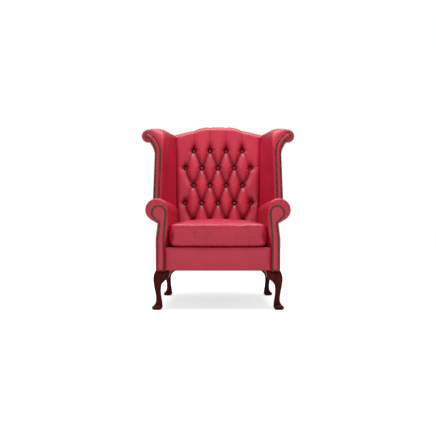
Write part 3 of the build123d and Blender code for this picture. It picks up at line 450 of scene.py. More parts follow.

# %% [markdown]
# ## Making a piece
#
# Points and faces become a mesh. Doubled points are merged and the faces turned outwards, so that every
# piece is a sound closed skin. The piece then rides on its body, and the imported nodes it stands for are
# hidden. Pieces that come in pairs are worked out for the right side, and the left one is its mirror
# image.


# %% Making a piece
def build_piece(name, points, faces, material, body="chair", nodes=(), sharp=40):
    """Make a mesh piece from points and arrays of faces, and seat it on its body."""
    mesh = bpy.data.meshes.new(name)
    faces = [np.asarray(part) for part in faces]
    corners = np.concatenate([part.ravel() for part in faces]).astype(np.int32)
    sizes = np.concatenate([np.full(len(part), part.shape[1]) for part in faces])
    points = np.asarray(points, float).reshape(-1, 3)
    mesh.vertices.add(len(points))
    mesh.vertices.foreach_set("co", points.astype(np.float32).ravel())
    mesh.loops.add(len(corners))
    mesh.loops.foreach_set("vertex_index", corners)
    mesh.polygons.add(len(sizes))
    mesh.polygons.foreach_set("loop_start", (np.cumsum(sizes) - sizes).astype(np.int32))
    mesh.update(calc_edges=True)
    mesh.validate()
    work = bmesh.new()
    work.from_mesh(mesh)
    bmesh.ops.remove_doubles(work, verts=work.verts, dist=0.00001)
    bmesh.ops.recalc_face_normals(work, faces=work.faces)
    work.to_mesh(mesh)
    work.free()
    mesh.shade_smooth()
    mesh.set_sharp_from_angle(angle=math.radians(sharp))
    piece = bpy.data.objects.new(name, mesh)
    scene.collection.objects.link(piece)
    mesh.materials.append(material)
    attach(piece, body)
    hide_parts(*nodes)
    print(name, len(mesh.polygons), "faces")
    return piece


sides = ((1, "right"), (-1, "left"))


def mirrored(points, side):
    """The same points on the right (side 1) or the left (side -1)."""
    return points * np.array([side, 1.0, 1.0])


def build_pair(name, points, faces, material, node, sharp=40):
    """Build a right piece and its mirror image; returns each piece with its side."""
    return [(build_piece(name + word, mirrored(points, side), faces, material, nodes=[node + word],
                         sharp=sharp), side) for side, word in sides]


def vertex_places(piece):
    """All vertices of a piece as one array of places."""
    flat = np.empty(len(piece.data.vertices) * 3, np.float32)
    piece.data.vertices.foreach_get("co", flat)
    return flat.reshape(-1, 3).astype(float)


def write_painted_shade(piece, values):
    """Store painted shade at each point, 0 to 1, for the materials to read: more is darker."""
    attribute = piece.data.attributes.new("painted_shade", "FLOAT", "POINT")
    attribute.data.foreach_set("value", np.clip(values, 0, 1).astype(np.float32))


def nearest_distance(points, marks):
    """Distance from each point to the nearest of some marks."""
    return np.min(np.linalg.norm(points[:, None] - marks[None], axis=-1), axis=1)


print("pairs are built for the", " and the ".join(word for side, word in sides))

# %% [markdown]
# ## Lines and arcs
#
# The outlines of arms, wings and facings are closed chains of straight stretches and arcs. A stretch or
# an arc is evenly spaced points without the last one, where the next begins. Where a straight line has
# to run into an arc without a kink, another helper finds the angle at which it touches the circle.


# %% Lines and arcs
def straight(first, last, count):
    """Evenly spaced points from first up to, but without, last."""
    share = np.linspace(0, 1, count, endpoint=False)[:, None]
    return mix(np.array(first, float), np.array(last, float), share)


def turn(centre, radius, first, last, count):
    """Points of an arc: centre plus radius times cosine and sine of angles from first to last."""
    angle = np.linspace(first, last, count, endpoint=False)
    return np.array(centre) + radius * np.stack([np.cos(angle), np.sin(angle)], -1)


def touch_angle(point, centre, radius, side):
    """Angle where a line from the point touches a circle: its bearing, plus or minus (side 1 or -1) the
    arc cosine of radius over distance."""
    away = np.array(point, float) - np.array(centre, float)
    return math.atan2(away[1], away[0]) + side * math.acos(radius / math.hypot(*away))


def leave_upright(first, last, count):
    """Points of the arc that leaves first straight up and ends at last."""
    across, rise = last[0] - first[0], last[1] - first[1]
    radius = (across * across + rise * rise) / (2 * across)
    sweep = math.atan2(rise, radius - across) if radius > 0 else -math.atan2(rise, across - radius)
    centre = (first[0] + radius, first[1])
    return turn(centre, radius, math.pi, math.pi - sweep, count)


print("a half circle in two points:", np.round(turn((0, 0), 1, 0, math.pi, 2), 3).tolist())

# %% [markdown]
# ## Leaning planes
#
# The back, the wings and the outside back each lean by their own angle. A leaning plane is given by
# how far it tips and by its depth at one height, from which the place where it would meet the floor is
# worked out. The back and the wings are set from the chair's front, the outside back from the top of
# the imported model. A point on a plane has an upward distance along it and an outward distance towards
# the front. Sizes that several pieces share are named here too.

# %% Leaning planes and shared sizes
leg_height = 0.213
seat_line = 0.339
waist_z = 0.380
base_half_width, waist_half_width = 0.340, 0.330
back_half_width = 0.269
wing_lean_out = 0.014
panel_thickness = 0.010

front_y = cad_low.y
back_lean, back_set, back_set_z = math.radians(13), 0.575, 0.5
back_foot_y = front_y + back_set - back_set_z * math.tan(back_lean)
wing_lean, wing_set, wing_set_z = math.radians(8), 0.352, 0.6
wing_foot_y = front_y + wing_set - wing_set_z * math.tan(wing_lean)
outside_lean = math.radians(9.23)
outside_foot_y = cad_high.y - cad_high.z * math.tan(outside_lean)


def on_plane(across, up, out, foot_y, lean):
    """Place on a leaning plane: up runs along the slope, out leaves it towards the front."""
    across, up, out = np.broadcast_arrays(across, up, out)
    y = foot_y + up * math.sin(lean) - out * math.cos(lean)
    z = up * math.cos(lean) + out * math.sin(lean)
    return np.stack([across, y, z], -1)


def outside_y(z):
    """Depth of the outside back at a height."""
    return outside_foot_y + z * math.tan(outside_lean)


print("back leans", round(math.degrees(back_lean)), "degrees, wings", round(math.degrees(wing_lean)))

# %% [markdown]
# ## The deep-buttoned back
#
# Buttons on long ties pull the leather deep into the stuffing. Between neighbouring buttons the spare
# leather folds into pleats along the diagonals, and each diamond between four pleats swells into a
# pillow. The surface is a height map over the leaning plane: x runs across it and w up its slope. Every
# pleat is a valley: deepest at its buttons, shallower half way, and its flanks rise as a parabola to
# the crown of the pillow. Where valleys meet, the deeper one wins softly, through the fourth root of a
# sum of fourth powers. A kind of pleat is four values: its depths at both ends, its depth in between,
# its widths at both ends, and the distance over which the depth settles.

# %% Button places and pleats
button_pitch = 0.1075
row_pitch = 0.1171
top_row_z = 0.9655
button_rows = 5
pit_depth, pit_radius, button_seat = 0.036, 0.0150, 0.033
up_scale = 1 / math.cos(back_lean)
row_fall = row_pitch * up_scale
end_button_x = 1.9 * button_pitch

diamond_pleat = (0.029, 0.029), 0.0155, (0.050, 0.050), 0.022
outer_pleat = (0.029, 0.029), 0.0075, (0.050, 0.050), 0.022
crest_pleat = (0.029, 0.0040), 0.0040, (0.050, 0.010), 0.034
seat_pleat = (0.028, 0.004), 0.004, (0.046, 0.012), 0.035
side_pleat = (0.022, 0.003), 0.002, (0.022, 0.008), 0.012
crest_pleat_length, seat_pleat_length = 0.40, 0.30
outer_bow = 0.012
flank_even, flank_sag = 0.98, 0.22
crease_part, crease_width = 0.12, 0.0024

button_places = np.array([
    ((column - (3 + row % 2) / 2) * button_pitch, (top_row_z - row * row_pitch) * up_scale)
    for row in range(button_rows)
    for column in range(4 + row % 2)
])
print(len(button_places), "buttons in", button_rows, "rows")

# %% One pleat and the gathers above one button
gather_start, gather_reach, gather_spread = 0.014, 0.038, 0.56
gather_depth, ripple_depth, ripples = 0.0130, 0.0008, 13


def pleat_valley(x, w, first, last, rim_depths, middle_depth, widths, settle, bow=0.0):
    """Depth of one pleat. It runs from rim_depths at its ends to middle_depth along the way, over the
    distance settle, and its flanks rise as the square of the distance left to its width. The flank
    above is steeper than the one below, because stuffing sags, and bow curves the line sideways. The
    fold itself is a fine crease in the bottom of the valley."""
    run = np.array(last) - np.array(first)
    length = np.hypot(*run)
    share = np.clip(((x - first[0]) * run[0] + (w - first[1]) * run[1]) / length ** 2, 0, 1)
    aside = bow * np.sin(math.pi * share) / length
    dx = x - first[0] - run[0] * share + aside * run[1]
    dw = w - first[1] - run[1] * share - aside * run[0]
    away = np.hypot(dx, dw)
    near, far = np.exp(-share * length / settle), np.exp(-(1 - share) * length / settle)
    depth = middle_depth + (rim_depths[0] - middle_depth) * near + (rim_depths[1] - middle_depth) * far
    width = mix(widths[0], widths[1], share) * (flank_even - flank_sag * dw / np.maximum(away, 1e-6))
    flank = np.clip(1 - away / width, 0, 1)
    return depth * (flank ** 2 + crease_part * np.exp(-(away / crease_width) ** 2))


def gathers(x, w, button):
    """Small creases that fan out above a button, where the leather is drawn in: a lobe round the upward
    direction, deep near the button and gone after a few centimetres, with a ripple across it."""
    across, up = x - button[0], w - button[1]
    away, bearing = np.hypot(across, up), np.arctan2(across, up)
    fade = np.clip(away / gather_start, 0, 1) ** 2 * np.exp(-(away / gather_reach) ** 2)
    upward = np.exp(-(bearing / gather_spread) ** 2)
    return fade * (gather_depth * upward + ripple_depth * (1 + upward) * np.cos(bearing * ripples))


print("gathers reach", gather_reach, "m from a button")


# %% Relief of the whole back
def pleats_of(button):
    """Pleats that leave a button downwards, over the crest, to the seat or to the side: end, kind, bow."""
    x, w = button
    found = []
    outermost = abs(x) > end_button_x
    for side in (-1, 1):
        below = np.array([x + side * button_pitch / 2, w - row_fall])
        if np.min(np.linalg.norm(button_places - below, axis=1)) < button_pitch / 10:
            kind = outer_pleat if abs(below[0]) > end_button_x else diamond_pleat
            found.append((below, kind, -outer_bow * side if outermost else 0.0))
    row = round((top_row_z * up_scale - w) / row_fall)
    if row == 0:
        found.append(((x, w + crest_pleat_length), crest_pleat, 0.0))
    if row == button_rows - 1:
        found.append(((x, w - seat_pleat_length), seat_pleat, 0.0))
    if outermost:
        found.append(((math.copysign(back_half_width, x), w), side_pleat, 0.0))
    return found


def back_relief(x, w):
    """How deep the buttoned leather lies under its plane: the fourth root of the sum of the fourth powers
    of all pleats and pits, plus the gathers."""
    total, small = np.zeros_like(x), np.zeros_like(x)
    for button in button_places:
        for end, kind, bow in pleats_of(button):
            total += pleat_valley(x, w, button, end, *kind, bow) ** 4
        away = np.hypot(x - button[0], w - button[1])
        total += (pit_depth * np.exp(-(away / pit_radius) ** 4)) ** 4
        small += gathers(x, w, button)
    return total ** 0.25 + small


print(sum(len(pleats_of(button)) for button in button_places), "pleats leave the buttons")

# %% [markdown]
# ## The crest
#
# Seen from the front the crest is flat in the middle, falls over two round shoulders and sweeps out to
# the wings. The buttoned leather is carried over it: up the front, round the roll at the top, back
# across it, and down behind the outside back. At the sides it tucks away beside the wings, and the
# shade there is deeper.

# %% Crest line
crest_flat, crest_shoulder_radius, crest_shoulder_turn = 0.058, 0.230, math.radians(19)
crest_corner = np.array([0.262, 1.081])
crest_top = cad_high.z + 0.0035


def crest_height(x):
    """Height of the crest: flat in the middle, a round shoulder, then a hollow sweep to the corner."""
    x = np.abs(x)
    shoulder_x = crest_flat + crest_shoulder_radius * math.sin(crest_shoulder_turn)
    shoulder_z = crest_top - crest_shoulder_radius * (1 - math.cos(crest_shoulder_turn))
    chord = crest_corner - np.array([shoulder_x, shoulder_z])
    bend = crest_shoulder_turn + math.atan2(chord[1], chord[0])  # half of the turn that the sweep makes
    sweep_radius = np.hypot(*chord) / (2 * math.sin(bend))
    sweep_x = shoulder_x + sweep_radius * math.sin(crest_shoulder_turn)
    sweep_z = shoulder_z + sweep_radius * math.cos(crest_shoulder_turn)
    shoulder = crest_top - crest_shoulder_radius + np.sqrt(
        np.maximum(crest_shoulder_radius ** 2 - (x - crest_flat) ** 2, 0))
    sweep = sweep_z - np.sqrt(sweep_radius ** 2 - (np.minimum(x, crest_corner[0]) - sweep_x) ** 2)
    return np.where(x < crest_flat, crest_top, np.where(x < shoulder_x, shoulder, sweep))


print("crest height every 0.1 m:", np.round(crest_height(np.array([0, 0.1, 0.2])), 3))

# %% Back surface over the crest
crest_roll = 0.040
back_columns, front_rows, roll_rows, top_rows, rear_rows = 268, 300, 15, 11, 8
unit = np.linspace(-1, 1, back_columns)[None, :]
corner_turn = math.pi / 2 - back_lean
widening, widening_start_z, widening_end_z = wing_lean_out + 0.009, 0.58, 1.06
side_tuck, side_tuck_depth = 0.036, 0.022
top_tuck, top_tuck_drop = 0.060, 0.014
rear_drop, top_pleat_run = 0.004, 0.06


def back_width(z):
    """Half the width of the buttoned face, which grows with the outward lean of the wings."""
    rise = (z - widening_start_z) / (widening_end_z - widening_start_z)
    return back_half_width + widening * np.clip(rise, 0, 1)


def tucked(distance, reach):
    """Share of the tuck at a distance from the side: 1 - sqrt(1 - t * t), t being 1 at the side."""
    return 1 - np.sqrt(1 - np.clip(1 - distance / reach, 0, 1) ** 2)


x = unit * back_width(widening_end_z)
crest = crest_height(x)
roll_start = crest * up_scale - crest_roll * math.tan(corner_turn / 2)
w = mix(seat_line * up_scale, roll_start, np.linspace(0, 1, front_rows)[:, None])
wide = unit * back_width(w / up_scale)
front = on_plane(wide, w, -back_relief(wide, w), back_foot_y, back_lean)

angle = np.linspace(0, corner_turn, roll_rows + 1)[1:, None]
roll_w = roll_start + crest_roll * angle
depth = back_relief(np.broadcast_to(x, roll_w.shape), roll_w)
roll = on_plane(x, roll_start + (crest_roll - depth) * np.sin(angle),
                (crest_roll - depth) * np.cos(angle) - crest_roll, back_foot_y, back_lean)

rear_y = outside_y(crest) - panel_thickness
top_share = np.linspace(0, 1, top_rows + 1)[1:, None]
top_w = roll_start + crest_roll * corner_turn + top_pleat_run * top_share
top_z = crest - back_relief(np.broadcast_to(x, top_w.shape), top_w)
top = np.stack(np.broadcast_arrays(x, mix(roll[-1:, :, 1], rear_y, top_share), top_z), -1)
down = mix(crest - rear_drop, seat_line, np.linspace(0, 1, rear_rows)[:, None])
behind = np.stack(np.broadcast_arrays(x, outside_y(down) - panel_thickness, down), -1)
back_points = np.concatenate([front, roll, top, behind])
inwards = (1 - np.abs(unit)) * back_half_width
back_points[:front_rows, :, 1] += side_tuck_depth * tucked(inwards, side_tuck)
back_points[front_rows:, :, 2] -= top_tuck_drop * tucked(inwards, top_tuck)
back_points = back_points.transpose(1, 0, 2)
buttoned_back = build_piece("buttoned_back", back_points, tube_faces(*back_points.shape[:2]), crimson,
                            nodes=["back_pad"], sharp=75)

# %% Shade in the pits and beside the wings
# Painted shade: the colour darkens with the depth of the pits and pleats, along the fine pleats over the
# crest, over the sides of the back, more towards their bottom, and most in the corner beside each wing.
crease_shade, crease_reach = 0.5, 0.0032
side_shade, low_shade, corner_shade, corner_reach = 0.15, 0.11, 0.34, 0.011
shade_x, low_shade_x, low_shade_fade = 0.20, 0.17, 0.05
low_shade_top_z, low_shade_bottom_z, corner_top_z = 0.86, 0.52, 1.05

x, y, z = vertex_places(buttoned_back).T
up = (y - back_foot_y) * math.sin(back_lean) + z * math.cos(back_lean)
in_sight = y < outside_y(z) - 2 * panel_thickness
top_pleats = np.min(np.abs(x[:, None] - button_places[None, :4, 0]), axis=1)
crease = crease_shade * np.exp(-(top_pleats / crease_reach) ** 2) * (z > top_row_z) * in_sight
low_share = np.clip((low_shade_top_z - z) / (low_shade_top_z - low_shade_bottom_z), 0, 1)
low_share *= np.clip((np.abs(x) - low_shade_x) / low_shade_fade, 0, 1)
corner = np.exp(-((back_width(z) - np.abs(x)) / corner_reach) ** 2) * (z < corner_top_z)
beside_wing = side_shade + low_shade * low_share + corner_shade * corner
beside_wing *= (np.abs(x) > shade_x) * in_sight
write_painted_shade(buttoned_back, np.maximum.reduce([back_relief(x, up) / pit_depth, crease, beside_wing]))
print("shade stored on", len(z), "points of the back")

# %% [markdown]
# ## Covered buttons
#
# A covered button is a metal cap pressed into a scrap of the same leather. It is a low dome with a
# soft rim. One dome is turned from a profile, and copies of it are set into the pits, each tipped by
# a degree or two, because ties never pull quite alike. The random numbers are seeded.

# %% Covered buttons
rng = np.random.default_rng(7)


def dome(profile_radii, profile_heights, steps):
    """Points and faces of a turned dome: a profile of radii and heights carried round a circle."""
    angle = np.linspace(0, 2 * math.pi, steps, endpoint=False)[None, :]
    radii, heights = np.array(profile_radii)[:, None], np.array(profile_heights)[:, None]
    points = np.stack(np.broadcast_arrays(radii * np.cos(angle), radii * np.sin(angle), heights), -1)
    return points.reshape(-1, 3), tube_faces(len(profile_radii), steps)


def scatter(shape, faces, origins, axes_x, axes_y, axes_z):
    """Copies of a shape, each in its own frame of three axes at its origin."""
    frames = np.stack([axes_x, axes_y, axes_z], 1)
    points = origins[:, None, :] + np.einsum("pk,nkj->npj", shape, frames)
    shift = np.arange(len(origins))[:, None, None] * len(shape)
    return points.reshape(-1, 3), [(part[None] + shift).reshape(-1, part.shape[1]) for part in faces]


button_radius, button_height, button_rim, button_tip = 0.0102, 0.0075, 0.0016, 0.05
button_middle_shade, button_rim_shade, button_shade_power = 0.42, 0.98, 1.3
rise_angle = np.linspace(0, math.pi / 2, 7)[1:-1]
button_shape, button_faces = dome(
    [button_radius * 0.92, button_radius, *(button_radius * np.cos(rise_angle) ** 0.8), 0.0006],
    [0.0, button_rim, *(button_rim + (button_height - button_rim) * np.sin(rise_angle)), button_height], 20)
back_outward = np.array([0, -math.cos(back_lean), math.sin(back_lean)])
back_upward = np.array([0, math.sin(back_lean), math.cos(back_lean)])
tip = rng.normal(0, button_tip, (len(button_places), 2))
axes_z = back_outward + tip[:, :1] * np.array([1.0, 0, 0]) + tip[:, 1:] * back_upward
axes_z /= np.linalg.norm(axes_z, axis=1, keepdims=True)
axes_x = np.cross(back_upward, axes_z)
axes_x /= np.linalg.norm(axes_x, axis=1, keepdims=True)
axes_y = np.cross(axes_z, axes_x)
origins = on_plane(button_places[:, 0], button_places[:, 1], -button_seat, back_foot_y, back_lean)
button_points, button_parts = scatter(button_shape, button_faces, origins, axes_x, axes_y, axes_z)
buttons = build_piece("covered_buttons", button_points, button_parts, crimson_facing,
                      nodes=["back_buttons"], sharp=60)
# Painted shade: each button is darkened, lightest at its middle and darkest at its rim, where it sits in the
# pit.
tops = origins + back_outward * button_height
rim = np.clip(nearest_distance(vertex_places(buttons), tops) / button_radius, 0, 1)
write_painted_shade(buttons, mix(button_middle_shade, button_rim_shade, rim ** button_shade_power))

# %% [markdown]
# ## Scroll arms
#
# The arm is a padded wall with a roll along its top. Its section is drawn once, as a closed line with
# the same number of points whatever its inset, so sections can be joined point to point. At the front
# the section shrinks along a quarter circle, which rounds the edge, and goes on shrinking across the
# front face to the edge of the nailed facing. Four small pleats, where the leather is eased round the
# scroll, are grooves along the grid.

# %% Arm sections
arm_front_y = front_y + 0.009
arm_length = cad_high.y - arm_front_y
wall_step, step_half_height = 0.020, 0.002
arm_neck_z, arm_wall_top_z, roll_centre_z = 0.468, 0.444, 0.543
wall_counts, roll_count, outer_counts = (8, 3, 10, 14), 132, (12, 10, 12, 10)

# Pairs: the value at the front and the value at the rear.
roll_radius, roll_x, arm_wall_x = (0.0635, 0.064), (0.3325, 0.320), (0.270, 0.257)


def arm_outline(inset, along, post=1.0):
    """The arm's section, (x, z), shrunk by inset. along is 0 at the front and 1 at the back; post is how
    far the wall steps out beside the cushion's front corner."""
    radius = mix(*roll_radius, along) - inset
    centre = (mix(*roll_x, along), roll_centre_z)
    wall = mix(*arm_wall_x, along) + inset
    outer, neck = base_half_width - inset, (waist_half_width - inset, arm_neck_z + inset / 2)
    under = touch_angle(neck, centre, radius, 1)
    under_point = turn(centre, radius, under, under, 1)[0]
    corners = [(wall + wall_step, leg_height), (wall + wall_step, seat_line - step_half_height),
               (wall + wall_step * post, seat_line + step_half_height), (wall, arm_wall_top_z),
               (centre[0] - radius, roll_centre_z)]
    lower = [under_point, neck, (outer, waist_z), (outer, leg_height), corners[0]]
    return np.concatenate(
        [straight(a, b, n) for a, b, n in zip(corners[:-1], corners[1:], wall_counts)]
        + [turn(centre, radius, math.pi, under, roll_count)]
        + [straight(a, b, n) for a, b, n in zip(lower[:-1], lower[1:], outer_counts)])


nail_loop, nail_loop_radius = (0.3215, 0.527), 0.0365
nail_inner_x, nail_outer_x, nail_neck, nail_bottom_z = 0.296, 0.327, (0.317, 0.474), 0.2145
nail_bend_z, nail_wall_shares = 0.385, (0, 0.38, 0.385, 0.70, 1)


def facing_outline(margin):
    """The arm facing's outline, (x, z), moved out by margin from its line of nails, with as many points
    as the arm's section so that the two can be joined."""
    radius = nail_loop_radius + margin
    inner = (nail_inner_x - margin, nail_bend_z)
    neck = (nail_neck[0] + margin, nail_neck[1] + margin * 0.3)
    first = touch_angle(inner, nail_loop, radius, -1)
    last = touch_angle(neck, nail_loop, radius, 1)
    start, finish = (turn(nail_loop, radius, a, a, 1)[0] for a in (first, last))
    low, outer = nail_bottom_z - margin, nail_outer_x + margin
    rise = np.concatenate([np.linspace(a, b, n, endpoint=False) for a, b, n in zip(
        nail_wall_shares[:-1], nail_wall_shares[1:], wall_counts)])
    z = mix(low, start[1], rise)
    x = np.interp(z, [low, inner[1], start[1]], [inner[0], inner[0], start[0]])
    lower = [finish, neck, (outer, nail_bend_z), (outer, low), (inner[0], low)]
    return np.concatenate(
        [np.stack([x, z], -1), turn(nail_loop, radius, first % (2 * math.pi), last, roll_count)]
        + [straight(a, b, n) for a, b, n in zip(lower[:-1], lower[1:], outer_counts)])


print("arm section:", len(arm_outline(0, 0)), "points")

# %% Arm surfaces
arm_edge, arm_edge_depth, arm_rear_edge = 0.016, 0.016, 0.012
arm_run, step_fade, arm_reach = 0.7, 0.05, 0.77
pleat_angles = np.radians([138, 80, 23, -31])
pleat_dip, pleat_dip_width, pleat_fade = 0.0014, 0.0022, 0.06
pleat_swell, pleat_swell_place, pleat_swell_width = 0.0007, 0.014, 0.009
groove_rise, groove_fall, groove_behind = 1.6, 0.4, 0.37
wave_height, arm_wave_length = 0.0007, 0.11
facing_margin, under_margin = 0.0052, 0.002


def upright(outline, y):
    """Places of an (x, z) outline at a depth y."""
    return np.stack([outline[:, 0], np.broadcast_to(y, len(outline)), outline[:, 1]], -1)


def off_pleat(angle):
    """Distance along the front roll from an angle to the nearest of the eased pleats."""
    return np.min(np.abs(angle[:, None] - pleat_angles[None]), axis=1) * roll_radius[0]


def arm_points():
    """Rings of the right arm, from under its facing, round the front edge and back to the rear. groove
    says how deep the pleats are at each ring; they fade behind the front edge. Points that aren't on
    the roll are endlessly far from any pleat."""
    rings, groove = [], []
    under_facing, face_edge = facing_outline(under_margin), arm_outline(arm_edge, 0)
    start_y = arm_front_y + arm_edge_depth
    for share in np.linspace(0, 1, 9):
        rings.append(upright(mix(under_facing, face_edge, share), arm_front_y))
        groove.append(min(1.0, share * groove_rise))
    for angle in np.linspace(0, math.pi / 2, 10)[1:]:
        y = arm_front_y + arm_edge_depth * (1 - math.cos(angle))
        rings.append(upright(arm_outline(arm_edge * (1 - math.sin(angle)), 0), y))
        groove.append(1.0 - groove_fall * angle)
    for share in np.linspace(0, 1, 46)[1:]:
        flat = arm_outline(0, mix(start_y - arm_front_y, arm_reach, share) / arm_length,
                           np.clip(1 - share * arm_run / step_fade, 0, 1))
        rings.append(upright(flat, mix(start_y, outside_y(flat[:, 1]) - arm_rear_edge, share)))
        groove.append(groove_behind * max(0.0, 1 - share * arm_run / pleat_fade))
    for angle in np.linspace(0, math.pi / 2, 6)[1:]:
        flat = arm_outline(arm_rear_edge * (1 - math.cos(angle)), 0.99, 0)
        rings.append(upright(flat, outside_y(flat[:, 1]) - arm_rear_edge * (1 - math.sin(angle))))
        groove.append(0.0)
    points = np.array(rings)
    roll_angle = np.full(points.shape[1], math.inf)
    begin = sum(wall_counts)
    under = touch_angle((waist_half_width, arm_neck_z), (roll_x[0], roll_centre_z), roll_radius[0], 1)
    roll_angle[begin: begin + roll_count] = np.linspace(math.pi, under, roll_count, endpoint=False)
    off = off_pleat(roll_angle)
    crease = pleat_swell * np.exp(-((off - pleat_swell_place) / pleat_swell_width) ** 2)
    crease -= pleat_dip * np.exp(-(off / pleat_dip_width) ** 2)
    lift = np.array(groove)[:, None] * crease[None]
    waves = wave_height * slow_waves(points, arm_wave_length)
    lift += waves * np.linspace(0, 1, len(rings))[:, None] ** 0.2
    return points - grid_normals(points) * lift[..., None]


# Painted shade: the leather darkens along the eased pleats on the roll, fading behind the front edge.
pleat_shade, pleat_shade_width, pleat_shade_run = 0.62, 0.0021, 0.02
roll_rim, roll_bottom_z = 0.046, 0.49
right_arm = arm_points()
for arm, side in build_pair("scroll_arm_", right_arm, tube_faces(*right_arm.shape[:2]), crimson,
                            "arm_pad_", sharp=50):
    x, y, z = vertex_places(arm).T
    across, up = np.abs(x) - roll_x[0], z - roll_centre_z
    on_rim = (np.hypot(across, up) > roll_rim) & (z > roll_bottom_z)
    run_out = np.clip(1 - (y - arm_front_y - arm_edge_depth) / pleat_shade_run, 0, 1)
    shade = pleat_shade * np.exp(-(off_pleat(np.arctan2(up, across)) / pleat_shade_width) ** 2)
    write_painted_shade(arm, shade * on_rim * run_out)
print("arm:", right_arm.shape[0], "rings of", right_arm.shape[1], "points")

# %% [markdown]
# ## Arm facings
#
# The front of each arm is closed by a shaped panel: a thin board padded and covered, held by a row of
# nails a few millimetres inside its edge. It is a stack of ever smaller outlines, each a little
# higher, so that the leather swells gently inside the nails.

# %% Arm facings
facing_skirt, facing_round, facing_dome, facing_sink = 0.002, 0.003, 0.003, 0.001
facing_height = facing_skirt + facing_round
facing_middle_margin = -0.0115
nail_dip, nail_dip_width = 0.0012, 0.003
nail_shade, arm_shade_reach, wing_shade_reach = 0.75, 0.0058, 0.0056


def facing_points():
    """Rings of the right facing: outlines moved inwards, raised by a quarter circle and then a slow dome,
    with a shallow groove under the nails."""
    rings = [upright(facing_outline(facing_margin), arm_front_y + facing_sink)]
    for angle in np.linspace(0, math.pi / 2, 5):
        margin = facing_margin - facing_round * (1 - math.cos(angle))
        height = facing_skirt + facing_round * math.sin(angle)
        rings.append(upright(facing_outline(margin), arm_front_y - height))
    for share in np.linspace(0, 1, 8)[1:]:
        margin = mix(facing_margin - facing_round, facing_middle_margin, share)
        dip = nail_dip * math.exp(-((margin / nail_dip_width) ** 2))
        height = facing_height - dip + facing_dome * math.sin(share * math.pi / 2)
        rings.append(upright(facing_outline(margin), arm_front_y - height))
    return np.array(rings)


def shade_nail_line(piece, line, reach):
    """Paint shade into the leather beside a line of nails."""
    write_painted_shade(piece, nail_shade * np.exp(-(nearest_distance(vertex_places(piece), line) / reach) ** 4))


right_facing = facing_points()
for panel, side in build_pair("arm_facing_panel_", right_facing, tube_faces(*right_facing.shape[:2]),
                              crimson_facing, "arm_facing_", sharp=55):
    line = mirrored(upright(facing_outline(0), arm_front_y - facing_height), side)
    shade_nail_line(panel, line, arm_shade_reach)
print("arm facings stand", facing_height, "m proud")

# %% [markdown]
# ## Scroll wings
#
# The wings are made like the arms: one section, at the front with a scroll that curls outwards, and at
# the back drawn in to the post. The line from the wall into the scroll is an arc that touches the
# scroll's circle from inside, so the outline has no kink. Sections in between are mixtures of the two:
# the scroll follows straight lines, and the wall behind it climbs earlier. The wall also swells a
# little over its padding.

# %% Wing sections
wing_counts = (44, 34, 70, 30, 34, 8)
post_scroll_x, wing_foot_z = 0.281, 0.578

# Pairs: the value at the front, in the scroll, and the value at the back, beside the post.
scroll_radius, scroll_end = (0.0420, 0.045), (-100, -8)
scroll_x, scroll_z = (0.4290, post_scroll_x + wing_lean_out), (1.0145, 1.0250)
wing_wall_x, wing_wall_top_z = (0.333, back_half_width + wing_lean_out), (0.925, 1.0535)
wing_foot_inner_x, wing_foot_outer_x = (0.341, back_half_width), (0.394, waist_half_width)
shoulder_x, shoulder_z = (0.387, waist_half_width), (0.880, 0.985)


def wing_outline(inset, rear, lean):
    """The wing's section in its leaning plane, shrunk by inset. rear is 0 at the scroll, 1 at the back."""
    radius = mix(*scroll_radius, rear) - inset
    centre = np.array([mix(*scroll_x, rear), mix(*scroll_z, rear) / math.cos(lean)])
    low = math.radians(mix(*scroll_end, rear))
    inner_x = mix(*wing_wall_x, rear) + inset
    top_z = (mix(*wing_wall_top_z, rear) - inset / 2) / math.cos(lean)
    foot_z = wing_foot_z / math.cos(lean)
    foot_inner = (mix(*wing_foot_inner_x, rear) + inset, foot_z)
    foot_outer = (mix(*wing_foot_outer_x, rear) - inset, foot_z)
    shoulder = (mix(*shoulder_x, rear) - inset, mix(*shoulder_z, rear) / math.cos(lean))
    reach, drop = centre[0] - inner_x, centre[1] - top_z
    sweep_radius = (reach ** 2 + drop ** 2 - radius ** 2) / (2 * (reach - radius))
    sweep_centre = np.array([inner_x + sweep_radius, top_z])
    toward = (centre - sweep_centre) / (sweep_radius - radius)
    contact = math.atan2(toward[1], toward[0])
    under_point = turn(centre, radius, low, low, 1)[0]
    return np.concatenate([
        straight(foot_inner, (inner_x, top_z), wing_counts[0]),
        turn(sweep_centre, sweep_radius, math.pi, contact, wing_counts[1]),
        turn(centre, radius, contact, low, wing_counts[2]),
        leave_upright(shoulder, under_point, wing_counts[3] + 1)[:0:-1],
        straight(shoulder, foot_outer, wing_counts[4]),
        straight(foot_outer, foot_inner, wing_counts[5])])


print("wing section:", len(wing_outline(0, 0, wing_lean)), "points")

# %% Wing surfaces
wing_edge, wing_edge_depth, wing_depth = 0.012, 0.014, 0.250
climb_haste, climb_end, climb_sideways = 0.09, 0.4, 0.55
wing_swell, wing_wave_length, outside_share = 0.005, 0.13, 0.93
wing_steps = np.linspace(0, 1, 56) ** 1.5


